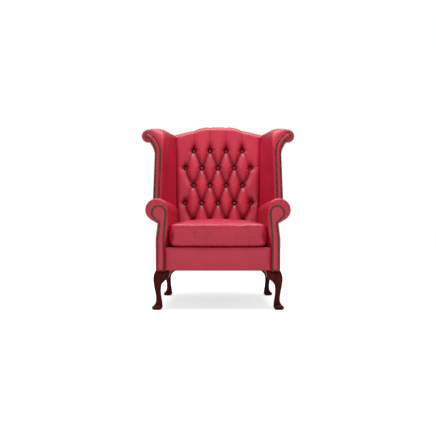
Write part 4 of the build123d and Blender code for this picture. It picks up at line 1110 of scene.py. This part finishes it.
def wing_points():
    """Rings of the right wing, from its front face round the edge, back to the post and the outside.
    Behind the face the wall climbs early: its height and its sweep take the rear section's values along
    1 - exp(-depth / haste), while the scroll itself follows straight lines."""
    front, flat = wing_outline(0, 0, wing_lean), wing_outline(0, 1, back_lean)
    front = on_plane(front[:, 0], front[:, 1], -wing_edge_depth, wing_foot_y, wing_lean)
    inside = on_plane(flat[:, 0], flat[:, 1], 0, back_foot_y, back_lean)
    wall, sweep, scroll = wing_counts[:3]
    number = np.arange(len(front))
    pass_on = np.clip((number - wall - sweep) / (climb_end * scroll), 0, 1)
    climbs = 1 - pass_on * pass_on * (3 - 2 * pass_on)
    step_in = ((inside[:, 0] - inside[wall, 0]) - (front[:, 0] - front[wall, 0])) * (number >= wall)
    climb = np.outer((inside[:, 2] - front[:, 2]) * climbs, (0, math.tan(wing_lean), 1.0))
    climb[:, 0] = climb_sideways * step_in * climbs

    def climbed(ring, depth, rear):
        """A ring moved by the part of the climb that runs ahead of the straight line."""
        share = depth / wing_depth
        return ring + climb * (1 - math.exp(-share / climb_haste) * max(0.0, 1 - share) - rear)

    rings = []
    for angle in np.linspace(0, math.pi / 2, 12):
        flat = wing_outline(wing_edge * (1 - math.sin(angle)), 0, wing_lean)
        depth = wing_edge_depth * (1 - math.cos(angle))
        rings.append(climbed(on_plane(flat[:, 0], flat[:, 1], -depth, wing_foot_y, wing_lean), depth, 0))
    for rear in wing_steps[1:]:
        rings.append(climbed(mix(front, inside, rear), mix(wing_edge_depth, wing_depth, rear), rear))
    edge_rings = len(rings) - len(wing_steps)
    flat = wing_outline(0, 1, outside_lean)
    outside = on_plane(flat[:, 0], flat[:, 1], 0, outside_foot_y, outside_lean)
    rings += [mix(inside, outside, share) for share in np.linspace(0, outside_share, 16)[1:]]
    points = np.array(rings)
    share = np.interp(np.arange(len(rings)), edge_rings + np.arange(len(wing_steps)), wing_steps)[:, None]
    rise = np.zeros(points.shape[1])
    rise[:wall + sweep] = np.sin(np.linspace(0, math.pi, wall + sweep)) ** 0.7
    swell = wing_swell * np.sin(share * math.pi) * rise[None]
    swell = swell + wave_height * slow_waves(points, wing_wave_length) * np.minimum(share * 6, 1)
    return points - grid_normals(points) * swell[..., None]


right_wing = wing_points()
for wing, side in build_pair("scroll_wing_", right_wing, tube_faces(*right_wing.shape[:2]), crimson,
                             "wing_pad_", sharp=50):
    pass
print("wing:", right_wing.shape[0], "rings of", right_wing.shape[1], "points")

# %% [markdown]
# ## Wing boards
#
# Under the leather the front of each wing is a shaped board, sawn to the scroll's outline. It is the
# same outline as the leather's, shrunk by the thickness of the padding, so it always stays covered. Low
# down it moves outwards by a few millimetres, to stay under the leather there as well.

# %% Wing boards
board_inset, board_front, board_rear = 0.014, 0.012, 0.034
board_outline = wing_outline(board_inset, 0, wing_lean)
foot_shift, foot_shift_top, foot_shift_run = 0.003, 0.70, 0.1
board_outline[:, 0] += foot_shift * np.clip((foot_shift_top - board_outline[:, 1]) / foot_shift_run, 0, 1)
right_board = np.array([on_plane(board_outline[:, 0], board_outline[:, 1], -depth, wing_foot_y, wing_lean)
                        for depth in (board_front, board_rear)])
build_pair("wing_board_", right_board, tube_faces(*right_board.shape[:2]), beech,
           "frame_wing_board_")
print("wing boards", board_rear - board_front, "m thick")

# %% [markdown]
# ## Wing facings
#
# A narrow band runs up the front of each wing and curls into the scroll. Between its two rows of nails
# the leather is stuffed into a round bead. The band is a stack of outlines again: each is the centre
# line moved out by a gauge, left side up, round cap, right side down, and the height depends only on
# the gauge.

# %% Wing facings
nail_gauge, bead_half_width, bead_height = 0.015, 0.0095, 0.0048
skirt_depth = 0.012
band_gauges = (0.0202, 0.0202, 0.0196, 0.0186, 0.0172, 0.015, 0.0125, 0.0102, 0.0094, 0.0088, 0.0078, 0.0062,
               0.0042, 0.002, 0.0)
band_counts = (70, 46, 25, 46, 70)
wing_up = 1 / math.cos(wing_lean)
band_foot, band_top, band_bend, band_turn = (0.374, 0.570), (0.367, 0.902), 0.1335, math.radians(59.8)


def band_outline(gauge):
    """The band's edge at a distance from its centre line, in the wing's plane: up, round the end, down."""
    foot, top = np.array(band_foot) * (1, wing_up), np.array(band_top) * (1, wing_up)
    centre = top + (band_bend, 0)
    last = math.pi - band_turn
    end = turn(centre, band_bend, last, last, 1)[0]
    return np.concatenate([
        straight(foot - (gauge, 0), top - (gauge, 0), band_counts[0]),
        turn(centre, band_bend + gauge, math.pi, last, band_counts[1]),
        turn(end, gauge, last, last - math.pi, band_counts[2]),
        turn(centre, band_bend - gauge, last, math.pi, band_counts[3]),
        straight(top + (gauge, 0), foot + (gauge, 0), band_counts[4]),
        [foot + (gauge, 0)]])


def band_height(gauge):
    """Height over the wing's front: a thin edge, flat under the nails, and a round bead in between."""
    edge = np.clip((nail_gauge + facing_margin - gauge) / facing_round, 0, 1)
    bead = np.sqrt(np.clip(1 - (gauge / bead_half_width) ** 2, 0, 1))
    return facing_skirt + facing_round * np.sqrt(1 - (1 - edge) ** 2) + bead_height * bead


def band_points():
    """Rings of the right band from its outer edge to its centre line, after a skirt into the wing."""
    heights = band_height(np.array(band_gauges))
    heights[0] = -skirt_depth
    rings = []
    for gauge, height in zip(band_gauges, heights):
        flat = band_outline(gauge)
        rings.append(on_plane(flat[:, 0], flat[:, 1], height, wing_foot_y, wing_lean))
    return np.array(rings)


right_band = band_points()
rows, columns = right_band.shape[:2]
foot_start = np.arange(rows) * columns
foot_end = foot_start + columns - 1
band_faces = [grid_faces(rows, columns), np.arange(columns)[None],
              np.concatenate([foot_start, foot_end[::-1]])[None]]
wing_line = band_outline(nail_gauge)
for band, side in build_pair("wing_facing_band_", right_band, band_faces, crimson_facing,
                             "wing_facing_", sharp=60):
    line = on_plane(wing_line[:, 0], wing_line[:, 1], facing_height, wing_foot_y, wing_lean)
    shade_nail_line(band, mirrored(line, side), wing_shade_reach)
print("wing facings:", rows, "rows of", columns, "points")

# %% [markdown]
# ## Rows of nails
#
# Upholstery nails have a domed head of antiqued brass and stand nearly touching. Each row follows its
# line at an even pitch: the line's length is added up point by point, and places are read from it at
# equal steps. Every head is turned and tipped a little by seeded random numbers, which breaks the
# line of reflections as hammering does.

# %% Rows of nails
nail_radius, nail_height, nail_rim, nail_sink, nail_pitch = 0.0053, 0.0040, 0.0003, 0.0006, 0.0112
nail_tip, nail_unevenness = 0.06, 0.03
arm_nail_height, wing_nail_height, wing_nail_low_z = 0.0042, 0.0046, 0.601


def along_line(points, count):
    """Count places at equal steps along a closed line of points, by its added-up length."""
    closed = np.concatenate([points, points[:1]])
    distance = np.concatenate([[0], np.cumsum(np.linalg.norm(np.diff(closed, axis=0), axis=1))])
    steps = np.linspace(0, distance[-1], count, endpoint=False)
    return np.stack([np.interp(steps, distance, closed[:, axis]) for axis in range(points.shape[1])], -1)


def line_length(points):
    """Length of a closed line of points."""
    return np.linalg.norm(np.diff(np.concatenate([points, points[:1]]), axis=0), axis=1).sum()


nail_curve = np.linspace(0, math.pi / 2, 5)[:-1]
nail_shape, nail_faces = dome(
    [nail_radius * 0.97, *(nail_radius * np.cos(nail_curve)), 0.0005],
    [-nail_sink, *(nail_rim + (nail_height - nail_rim) * np.sin(nail_curve)), nail_height], 12)


def nail_row(name, places, outward, side, node):
    """A row of nail heads on a plane, mirrored to its side."""
    axes_z = outward + rng.normal(0, nail_tip, (len(places), 3))
    axes_z /= np.linalg.norm(axes_z, axis=1, keepdims=True)
    axes_x = np.cross(np.array([0.0, 0, 1]), axes_z)
    axes_x /= np.linalg.norm(axes_x, axis=1, keepdims=True)
    size = rng.uniform(1 - nail_unevenness, 1 + nail_unevenness)
    points, parts = scatter(nail_shape * size, nail_faces, places, axes_x, np.cross(axes_z, axes_x), axes_z)
    row = build_piece(name, mirrored(points, side), parts, antique_brass, nodes=[node],
                      sharp=60)
    # Painted shade: each head darkens towards its rim.
    tops = mirrored(places + outward * nail_height, side)
    write_painted_shade(row, (nearest_distance(vertex_places(row), tops) / nail_radius) ** 2)


arm_line = facing_outline(0)
arm_nails = along_line(arm_line, round(line_length(arm_line) / nail_pitch))
arm_nails = upright(arm_nails, arm_front_y - arm_nail_height)
wing_nails = along_line(wing_line, round(line_length(wing_line) / nail_pitch))
wing_nails = wing_nails[wing_nails[:, 1] > wing_nail_low_z * wing_up]
wing_nails = on_plane(wing_nails[:, 0], wing_nails[:, 1], wing_nail_height, wing_foot_y, wing_lean)
wing_outward = np.array([0, -math.cos(wing_lean), math.sin(wing_lean)])
for side, word in sides:
    nail_row("arm_nail_row_" + word, arm_nails, np.array([0, -1.0, 0]), side, "arm_nails_" + word)
    nail_row("wing_nail_row_" + word, wing_nails, wing_outward, side, "wing_nails_" + word)
print(len(arm_nails), "nails round each arm facing,", len(wing_nails), "on each wing")

# %% [markdown]
# ## Padded panels
#
# The outside back, the sides under the arms, the outsides of the wings, the front border and the deck
# under the cushion are all the same thing: a skin stretched over a thin pad. One function makes them.
# It takes a patch of places with an outward direction, and builds a slab whose outer skin rounds down
# at its edges along a quarter circle and swells slightly in the middle.


# %% Padded panels
def padded_panel(name, back_face, outward, thickness, edge, swell, material, nodes):
    """A slab over a grid of places. Near an edge the skin falls as a quarter circle of radius edge, and
    the middle swells as the square root of the product of two half sines."""
    outward = np.array(outward, float) / np.linalg.norm(outward)
    rows, columns = back_face.shape[:2]
    row_steps = np.linalg.norm(np.diff(back_face, axis=0), axis=-1).mean(1)
    column_steps = np.linalg.norm(np.diff(back_face, axis=1), axis=-1).mean(0)
    down = np.concatenate([[0], np.cumsum(row_steps)])[:, None]
    across = np.concatenate([[0], np.cumsum(column_steps)])[None, :]
    near = np.minimum(np.minimum(down, down[-1:] - down), np.minimum(across, across[:, -1:] - across))
    fall = 1 - np.sqrt(1 - (1 - np.clip(near / edge, 0, 1)) ** 2)
    puff = np.sin(down / down[-1, 0] * math.pi) * np.sin(across / across[0, -1] * math.pi)
    height = thickness - fall * min(edge, thickness * 0.9) + swell * np.sqrt(np.clip(puff, 0, 1))
    skin = back_face + outward * height[..., None]
    points = np.concatenate([back_face.reshape(-1, 3), skin.reshape(-1, 3)])
    number = np.arange(rows * columns).reshape(rows, columns)
    rim = np.concatenate([number[0, :-1], number[:-1, -1], number[-1, :0:-1], number[:0:-1, 0]])
    after = np.roll(rim, -1)
    walls = np.stack([rim, after, after + rows * columns, rim + rows * columns], -1)
    faces = [grid_faces(rows, columns), grid_faces(rows, columns, first=rows * columns), walls]
    piece = build_piece(name, points, faces, material, nodes=nodes, sharp=50)


def denser_ends(count, bunch=0.6):
    """Shares from 0 to 1 that crowd towards both ends."""
    share = np.linspace(0, 1, count)
    return mix(share, (1 - np.cos(share * math.pi)) / 2, bunch)


def panel_grid(first_count, second_count):
    """Two grids of shares that crowd towards their ends: the first grows by rows, the second by columns."""
    return np.meshgrid(denser_ends(first_count), denser_ends(second_count), indexing="ij")


print("five places with denser ends:", np.round(denser_ends(5), 3))

# %% Outside back, sides and wings
post_arc, post_arc_run = 0.0495, 0.048
cover_top_z, cover_neck_z, cover_front_gap, cover_rear_gap = 0.464, 0.470, 0.038, 0.004
wing_cover_low_z, wing_cover_facing = 0.590, np.array([1, 0.15, 0])

rise, across = panel_grid(90, 90)
across = mix(-waist_half_width, waist_half_width, across)
past_scroll = np.clip(np.abs(across) - post_scroll_x, 0, post_arc_run)
post_top = np.where(past_scroll > 0, scroll_z[1] + np.sqrt(post_arc ** 2 - past_scroll ** 2), crest_top)
z = mix(leg_height, np.minimum(post_top, crest_height(across)), rise)
outside = np.stack([across, outside_y(z) - panel_thickness, z], -1)
padded_panel("outside_back_cover", outside, (0, 1, -math.tan(outside_lean)),
             thickness=panel_thickness - 0.001, edge=0.008, swell=0.004, material=crimson,
             nodes=["outside_back_panel"])


def arm_cover(side, word):
    """The side under one arm: upright to the waist, then leaning in to the neck under the roll."""
    rise, run = panel_grid(40, 70)
    z = mix(leg_height, cover_top_z, rise)
    x = np.interp(z, [waist_z, cover_neck_z], [base_half_width, waist_half_width])
    y = mix(arm_front_y + cover_front_gap, outside_y(z) - cover_rear_gap, run)
    patch = np.stack([x - panel_thickness, y, z], -1)
    padded_panel("arm_outside_cover_" + word, mirrored(patch, side), (side, 0, 0),
                 thickness=panel_thickness + 0.0015, edge=0.007, swell=0.003, material=crimson,
                 nodes=["side_panel_" + word])


def wing_cover(side, word):
    """The outside of one wing: inwards from the wing board to the post, then straight to the rear."""
    rise, run = panel_grid(40, 60)
    z_front, z_rear = (mix(wing_cover_low_z, shoulder, rise) for shoulder in shoulder_z)
    y_front = wing_foot_y + z_front * math.tan(wing_lean) + board_rear
    y_inside = back_foot_y + z_rear * math.tan(back_lean)
    y_rear = outside_y(z_rear) - panel_thickness
    inward = np.clip(run * (y_rear - y_front) / (y_inside - y_front), 0, 1)
    x = mix(mix(wing_foot_outer_x[0], shoulder_x[0], rise), waist_half_width, inward)
    patch = np.stack([x - panel_thickness, mix(y_front, y_rear, run), mix(z_front, z_rear, inward)], -1)
    padded_panel("wing_outside_cover_" + word, mirrored(patch, side), mirrored(wing_cover_facing, side),
                 thickness=panel_thickness + 0.002, edge=0.008, swell=0.002, material=crimson,
                 nodes=["wing_outside_panel_" + word])


for side, word in sides:
    arm_cover(side, word)
    wing_cover(side, word)
print("outside covers reach up to", round(float(outside[..., 2].max()), 4), "m")

# %% Front border and deck
border_back_y = front_y + 0.024
seat_half_width = 0.290
deck_z = seat_line - 0.010
deck_under_back = 0.02
deck_rear_y = back_foot_y + seat_line * math.tan(back_lean) + deck_under_back

rise, across = panel_grid(36, 110)
across = mix(-seat_half_width, seat_half_width, across)
patch = np.stack([across, np.full_like(across, border_back_y), mix(leg_height, seat_line, rise)], -1)
padded_panel("front_border_cover", patch, (0, -1, 0), thickness=0.008, edge=0.042, swell=0.008,
             material=crimson, nodes=["front_border"])

run, across = panel_grid(60, 60)
across = mix(-seat_half_width, seat_half_width, across)
patch = np.stack([across, mix(border_back_y, deck_rear_y, run), np.full_like(across, deck_z)], -1)
padded_panel("platform_deck", patch, (0, 0, 1), thickness=0.0095, edge=0.008, swell=0.0,
             material=platform_cloth, nodes=["seat_deck_pad"])
print("deck from", round(border_back_y, 3), "to", round(deck_rear_y, 3), "m in depth")

# %% [markdown]
# ## The seat cushion
#
# The loose cushion is a box of leather over a soft filling: a flat bottom, an upright band, a seam,
# and a crowned top. Its plan is wider in front, with straight sides, rounded corners, and a front and a
# rear edge that bow outwards a little. Rings of that plan grow across the underside, are stacked up the
# band, and then shrink towards the middle of the crown. This is the cut of the cover; the next step
# fills it.

# %% Cut of the seat cushion
cushion_front_y = front_y + 0.016
cushion_seam_z, cushion_crown_z = 0.463, 0.500
cushion_low_z = seat_line + 0.0003
cushion_half_front, cushion_half_rear, cushion_back_gap = 0.268, 0.254, 0.010
cushion_corner, least_corner, cushion_bow = 0.028, 0.006, 0.003
cushion_foot, cushion_middle_rear = 0.028, 0.115
band_hollow, crown_power, crown_fullness = 0.0015, 2.2, 0.9
corner_count, side_count, least_ring = 10, 56, 0.02


def cushion_rear(z):
    """Depth of the cushion's rear face, which leans with the back."""
    return back_foot_y + z * math.tan(back_lean) - cushion_back_gap / math.cos(back_lean)


def cushion_plan(z, inset):
    """The cushion's outline at a height: four sides, the front and rear bowed, and quarter-circle corners."""
    front, rear = cushion_front_y + inset, cushion_rear(z) - inset
    half_front, half_rear = cushion_half_front - inset, cushion_half_rear - inset
    radius = max(cushion_corner - inset * 0.3, least_corner)
    centre_front, centre_rear = half_front - radius, half_rear - radius
    arcs = [((centre_front, front + radius), -math.pi / 2), ((centre_rear, rear - radius), 0),
            ((-centre_rear, rear - radius), math.pi / 2), ((-centre_front, front + radius), math.pi)]
    line = []
    for index, (centre, begin) in enumerate(arcs):
        line.append(turn(centre, radius, begin, begin + math.pi / 2, corner_count))
        following, following_begin = arcs[(index + 1) % 4]
        start = turn(centre, radius, begin + math.pi / 2, 0, 1)[0]
        finish = turn(following, radius, following_begin, 0, 1)[0]
        bow = cushion_bow * np.sin(np.linspace(0, math.pi, side_count, endpoint=False)) * (index % 2)
        outward = np.array([finish[1] - start[1], start[0] - finish[0]]) / np.hypot(*(finish - start))
        line.append(straight(start, finish, side_count) + outward * bow[:, None])
    return np.concatenate(line)


def cushion_points(skin, crown_loss=0.0, lift=0.0):
    """Rings of the cushion from the middle of its underside over the band to the middle of its crown. skin
    shrinks it all round, crown_loss flattens the crown, and lift raises the underside."""
    low, crown = cushion_low_z + lift, cushion_crown_z - skin - crown_loss
    seam, foot = cushion_seam_z - skin / 2, cushion_foot
    middle = np.array([0, (cushion_front_y + cushion_middle_rear) / 2])
    levels = [(low, foot + skin, share) for share in np.linspace(least_ring, 1, 14)]
    for angle in np.linspace(0, math.pi / 2, 8)[1:]:
        levels.append((low + foot * (1 - math.cos(angle)), foot * (1 - math.sin(angle)) + skin, 1))
    for share in np.linspace(0, 1, 22)[1:]:
        levels.append((mix(low + foot, seam, share), skin - band_hollow * math.sin(share * math.pi), 1))
    for share in np.linspace(1, least_ring, 40)[1:]:
        levels.append((seam + (crown - seam) * (1 - share ** crown_power) ** crown_fullness, skin, share))
    rings = []
    for z, inset, share in levels:
        plan = middle + (cushion_plan(min(z, seam), inset) - middle) * share
        rings.append(np.column_stack([plan, np.full(len(plan), z)]))
    return np.array(rings)


print("cushion cut:", cushion_points(0).shape[:2], "points")

# %% [markdown]
# ## Filling the cushion
#
# A stuffed cover takes its shape from pressure, so the cut is filled as a cloth simulation: the cover
# starts a few millimetres too small, its mesh is made even, and pressure blows it up without gravity.
# The stitched seam and the faces that rest on the deck and the back are held, so the crown and the
# front band swell between them. A cap on how far any point may move keeps it true to its cut. The
# dents a sitter leaves in the front band come last.

# %% Filling the cushion
even_size, swell_pressure, swell_cap, swell_frames = 0.006, 4.0, 0.011, 20
start_skin, start_crown_loss = 0.004, 0.009
held_x, held_rear_x, held_rear_y = 0.255, 0.241, 0.12
held_front, held_seam, held_bottom, held_rear = 0.012, 0.005, 0.008, 0.012


def evaluated(piece):
    """A new mesh: the piece with its modifiers applied."""
    return bpy.data.meshes.new_from_object(piece.evaluated_get(bpy.context.evaluated_depsgraph_get()))


def apply_modifier(piece, kind, **settings):
    """Add one modifier, make its result the piece's own mesh, and remove it."""
    modifier = piece.modifiers.new(kind.lower(), kind)
    for key, value in settings.items():
        setattr(modifier, key, value)
    old, piece.data = piece.data, evaluated(piece)
    piece.modifiers.clear()
    bpy.data.meshes.remove(old)


def fill_with_pressure(piece):
    """Blow a closed cover up as cloth, cap how far each point moves, and return its points."""
    rest = vertex_places(piece)
    x, y, z = rest.T
    outer = np.abs(x) > np.interp(y, [cushion_front_y, held_rear_y], [held_x, held_rear_x])
    outer |= y < cushion_front_y + held_front
    held = outer & (np.abs(z - cushion_seam_z) < held_seam)
    held |= (z < cushion_low_z + held_bottom) | (y > cushion_rear(z) - held_rear)
    group = piece.vertex_groups.new(name="held")
    group.add(np.flatnonzero(held).tolist(), 1.0, "REPLACE")
    cloth = piece.modifiers.new("cloth", "CLOTH")
    cloth.settings.quality = 6
    cloth.settings.mass = 1.6
    cloth.settings.tension_stiffness = cloth.settings.compression_stiffness = 15
    cloth.settings.bending_stiffness = 2.0
    cloth.settings.shrink_min = -0.02
    cloth.settings.vertex_group_mass = group.name
    cloth.settings.use_pressure = True
    cloth.settings.uniform_pressure_force = swell_pressure
    cloth.settings.effector_weights.gravity = 0
    for number in range(1, swell_frames + 1):
        scene.frame_set(number)
    filled = evaluated(piece)
    flat = np.empty(len(filled.vertices) * 3, np.float32)
    filled.vertices.foreach_get("co", flat)
    piece.modifiers.clear()
    piece.vertex_groups.clear()
    scene.frame_set(1)
    travel = flat.reshape(-1, 3) - rest
    length = np.maximum(np.linalg.norm(travel, axis=1, keepdims=True), 1e-9)
    print("filled cushion: points moved up to", round(float(length.max()) * 1000, 1), "mm")
    return rest + travel * swell_cap * np.tanh(length / swell_cap) / length


print("filling:", swell_frames, "frames, no point moves more than", swell_cap, "m")

# %% Dents and contact
contact_gap = 0.0005
band_middle_z, band_half, front_run = 0.405, 0.038, 0.05
dent_depth, seam_depth, seam_width, seam_run = 0.0015, 0.0010, 0.003, 0.02
crown_wave_height, crown_wave_length = 0.0010, 0.16
dent_sets = (  # tilt, wobble, spacing, phase, middle, half width, strength
    (0.06, 0.006, 0.034, 1.0, -0.14, 0.16, 1.0),
    (-0.05, 0.0, 0.041, 0.0, 0.10, 0.20, 0.7))


def band_dents(x, z):
    """Soft, nearly level creases in the front band, one set left of the middle and one right of it."""
    total = np.zeros_like(x)
    for tilt, wobble, spacing, phase, middle, half_width, strength in dent_sets:
        height = z + tilt * x + wobble * np.sin(x * 14)
        dents = np.sin(height * 2 * math.pi / spacing + phase)
        total += strength * dents * np.exp(-((x - middle) / half_width) ** 2)
    return total


def pressed(points):
    """Points kept off the arms, the back and the deck, with dents in the front band."""
    x, y, z = points.T.copy()
    deep = np.clip((y - cushion_front_y) / (cushion_rear(0.40) - cushion_front_y), 0, 1)
    half = mix(cushion_half_front + contact_gap, cushion_half_rear + contact_gap, deep)
    x = np.clip(x, -half, half)
    y = np.minimum(y, cushion_rear(np.minimum(z, cushion_seam_z)) + contact_gap)
    z = np.maximum(z, cushion_low_z)
    front_share = np.clip((cushion_front_y + front_run - y) / front_run, 0, 1)
    band_share = np.exp(-((z - band_middle_z) / band_half) ** 4)
    seam = seam_depth * np.exp(-((z - cushion_seam_z) / seam_width) ** 2)
    y += (dent_depth * band_dents(x, z) * band_share + seam) * front_share
    x -= np.sign(x) * seam * (np.abs(x) > half - seam_run)
    z += crown_wave_height * slow_waves(points, crown_wave_length) * (z > cushion_seam_z)
    return np.stack([x, y, z], -1)


print(len(dent_sets), "sets of dents, about", dent_depth, "m deep")

# %% Seat cushion and its filling
cushion_rings = cushion_points(start_skin, start_crown_loss)
cushion = build_piece("seat_cushion", cushion_rings, tube_faces(*cushion_rings.shape[:2]), crimson,
                      body="seat_cushion", nodes=["cushion_cover"], sharp=60)
apply_modifier(cushion, "REMESH", mode="VOXEL", voxel_size=even_size)
apply_modifier(cushion, "SMOOTH", factor=0.5, iterations=6)
cushion.data.vertices.foreach_set("co", fill_with_pressure(cushion).astype(np.float32).ravel())
apply_modifier(cushion, "SMOOTH", factor=0.5, iterations=4)
apply_modifier(cushion, "SUBSURF", levels=1, render_levels=1)
cushion.data.vertices.foreach_set("co", pressed(vertex_places(cushion)).astype(np.float32).ravel())
cushion.data.update()
cushion.data.shade_smooth()
low, high = vertex_places(cushion).min(0), vertex_places(cushion).max(0)
print("seat cushion:", len(cushion.data.polygons), "faces, box", np.round([*low, *high], 4))

filling_rings = cushion_points(skin=0.014, crown_loss=0.006, lift=0.010)
filling = build_piece("cushion_filling", filling_rings, tube_faces(*filling_rings.shape[:2]), filling_cloth,
                      body="seat_cushion", nodes=["cushion_foam"], sharp=60)

# %% [markdown]
# ## Cabriole legs
#
# A cabriole leg swings out at the knee, in at the ankle and out again at the foot. It is cut from a
# square block, so its sections are squares with ever rounder corners, and their centres move along
# the diagonal of the chair's corner. A few stations give height, reach, width and roundness, and a
# smooth curve through them gives every section between.

# %% Legs
leg_block = 0.082
border_gap, leg_gap = 0.014, 0.009
roundest = 0.47
leg_stations = np.array([  # height as a share, reach, width, roundness
    (1, 0, 1, 0.10), (0.9, 0.12, 1.04, 0.25), (0.81, 0.16, 1.01, 0.30), (0.735, 0.16, 0.78, 0.36),
    (0.66, 0.13, 0.56, 0.40), (0.56, 0.09, 0.44, 0.42), (0.43, 0.02, 0.365, 0.42), (0.29, -0.02, 0.36, 0.42),
    (0.2, -0.01, 0.41, 0.42), (0.12, 0.09, 0.53, 0.42), (0.055, 0.25, 0.7, 0.42), (0, 0.17, 0.52, 0.42)])


def smooth_through(heights, stations):
    """Values between stations from cubic curves whose slopes are the mean of their neighbours' slopes."""
    places, values = stations[::-1, 0], stations[::-1, 1:]
    gaps = np.diff(places)[:, None]
    slopes = np.diff(values, axis=0) / gaps
    tangents = np.concatenate([slopes[:1], (slopes[:-1] + slopes[1:]) / 2, slopes[-1:]])
    at = np.clip(np.searchsorted(places, heights, side="right") - 1, 0, len(places) - 2)
    share = (heights - places[at])[:, None] / gaps[at]
    return ((2 * share ** 3 - 3 * share ** 2 + 1) * values[at]
            + (share ** 3 - 2 * share ** 2 + share) * gaps[at] * tangents[at]
            + (3 * share ** 2 - 2 * share ** 3) * values[at + 1]
            + (share ** 3 - share ** 2) * gaps[at] * tangents[at + 1])


def rounded_square(roundness, count=13):
    """Outline of a square of side 1 with corner radii that are a share of the side."""
    pieces = []
    for quarter, corner in enumerate(((1, 1), (-1, 1), (-1, -1), (1, -1))):
        angle = np.linspace(0, math.pi / 2, count) + quarter * math.pi / 2
        centre = (0.5 - roundness) * np.array(corner)
        pieces.append(centre + roundness * np.stack([np.cos(angle), np.sin(angle)], -1))
    return np.concatenate(pieces)


def leg_points(corner_y, x_side, y_side):
    """Rings of one leg under its corner of the chair."""
    heights = np.unique(np.concatenate([np.linspace(0, 1, 96), leg_stations[:, 0]]))[::-1]
    rings = []
    for height, (reach, width, roundness) in zip(heights, smooth_through(heights, leg_stations)):
        out = reach * leg_block - width * leg_block / 2
        centre = np.array([x_side * (base_half_width + out), corner_y + y_side * out])
        plan = centre + rounded_square(min(roundness, roundest)) * width * leg_block
        rings.append(np.column_stack([plan, np.full(len(plan), height * leg_height)]))
    return np.array(rings)


front_leg_y = front_y + border_gap + leg_gap
rear_leg_y = outside_y(leg_height) - leg_gap
for corner_y, y_side, end_word in ((front_leg_y, -1, "front_"), (rear_leg_y, 1, "rear_")):
    for side, word in sides:
        leg = leg_points(corner_y, side, y_side)
        build_piece("cabriole_leg_" + end_word + word, leg, tube_faces(*leg.shape[:2]), mahogany,
                    nodes=["leg_" + end_word + word], sharp=50)
print("legs", leg_height, "m high, corners at", round(front_leg_y, 3), "and", round(rear_leg_y, 3))

# %% [markdown]
# ## The hidden pieces
#
# The frame apart from the wing boards, the blocks and bolts, the webbing, the zip and the black cloth
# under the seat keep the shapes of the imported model, because they are right. They only need their
# materials.

# %% Materials of the hidden pieces
for node_name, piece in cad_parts.items():
    if node_name.startswith("frame_") or node_name == "corner_blocks":
        material = beech
    elif "webbing" in node_name:
        material = webbing_cloth
    else:
        material = {"leg_bolts": zinc_steel, "zip_slider": zip_brass, "cushion_zip": zip_cloth,
                    "base_cloth": dust_cloth}.get(node_name, crimson)
    piece.data.materials.clear()
    piece.data.materials.append(material)

# %% [markdown]
# ## Sizes
#
# The scrolls and the crest reach a few millimetres past the imported model, so the box of what is shown is
# printed too; the imported box was printed at the start.

# %% Print the sizes
low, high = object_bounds()
print("box", [round(v, 4) for v in (*low, *high)])
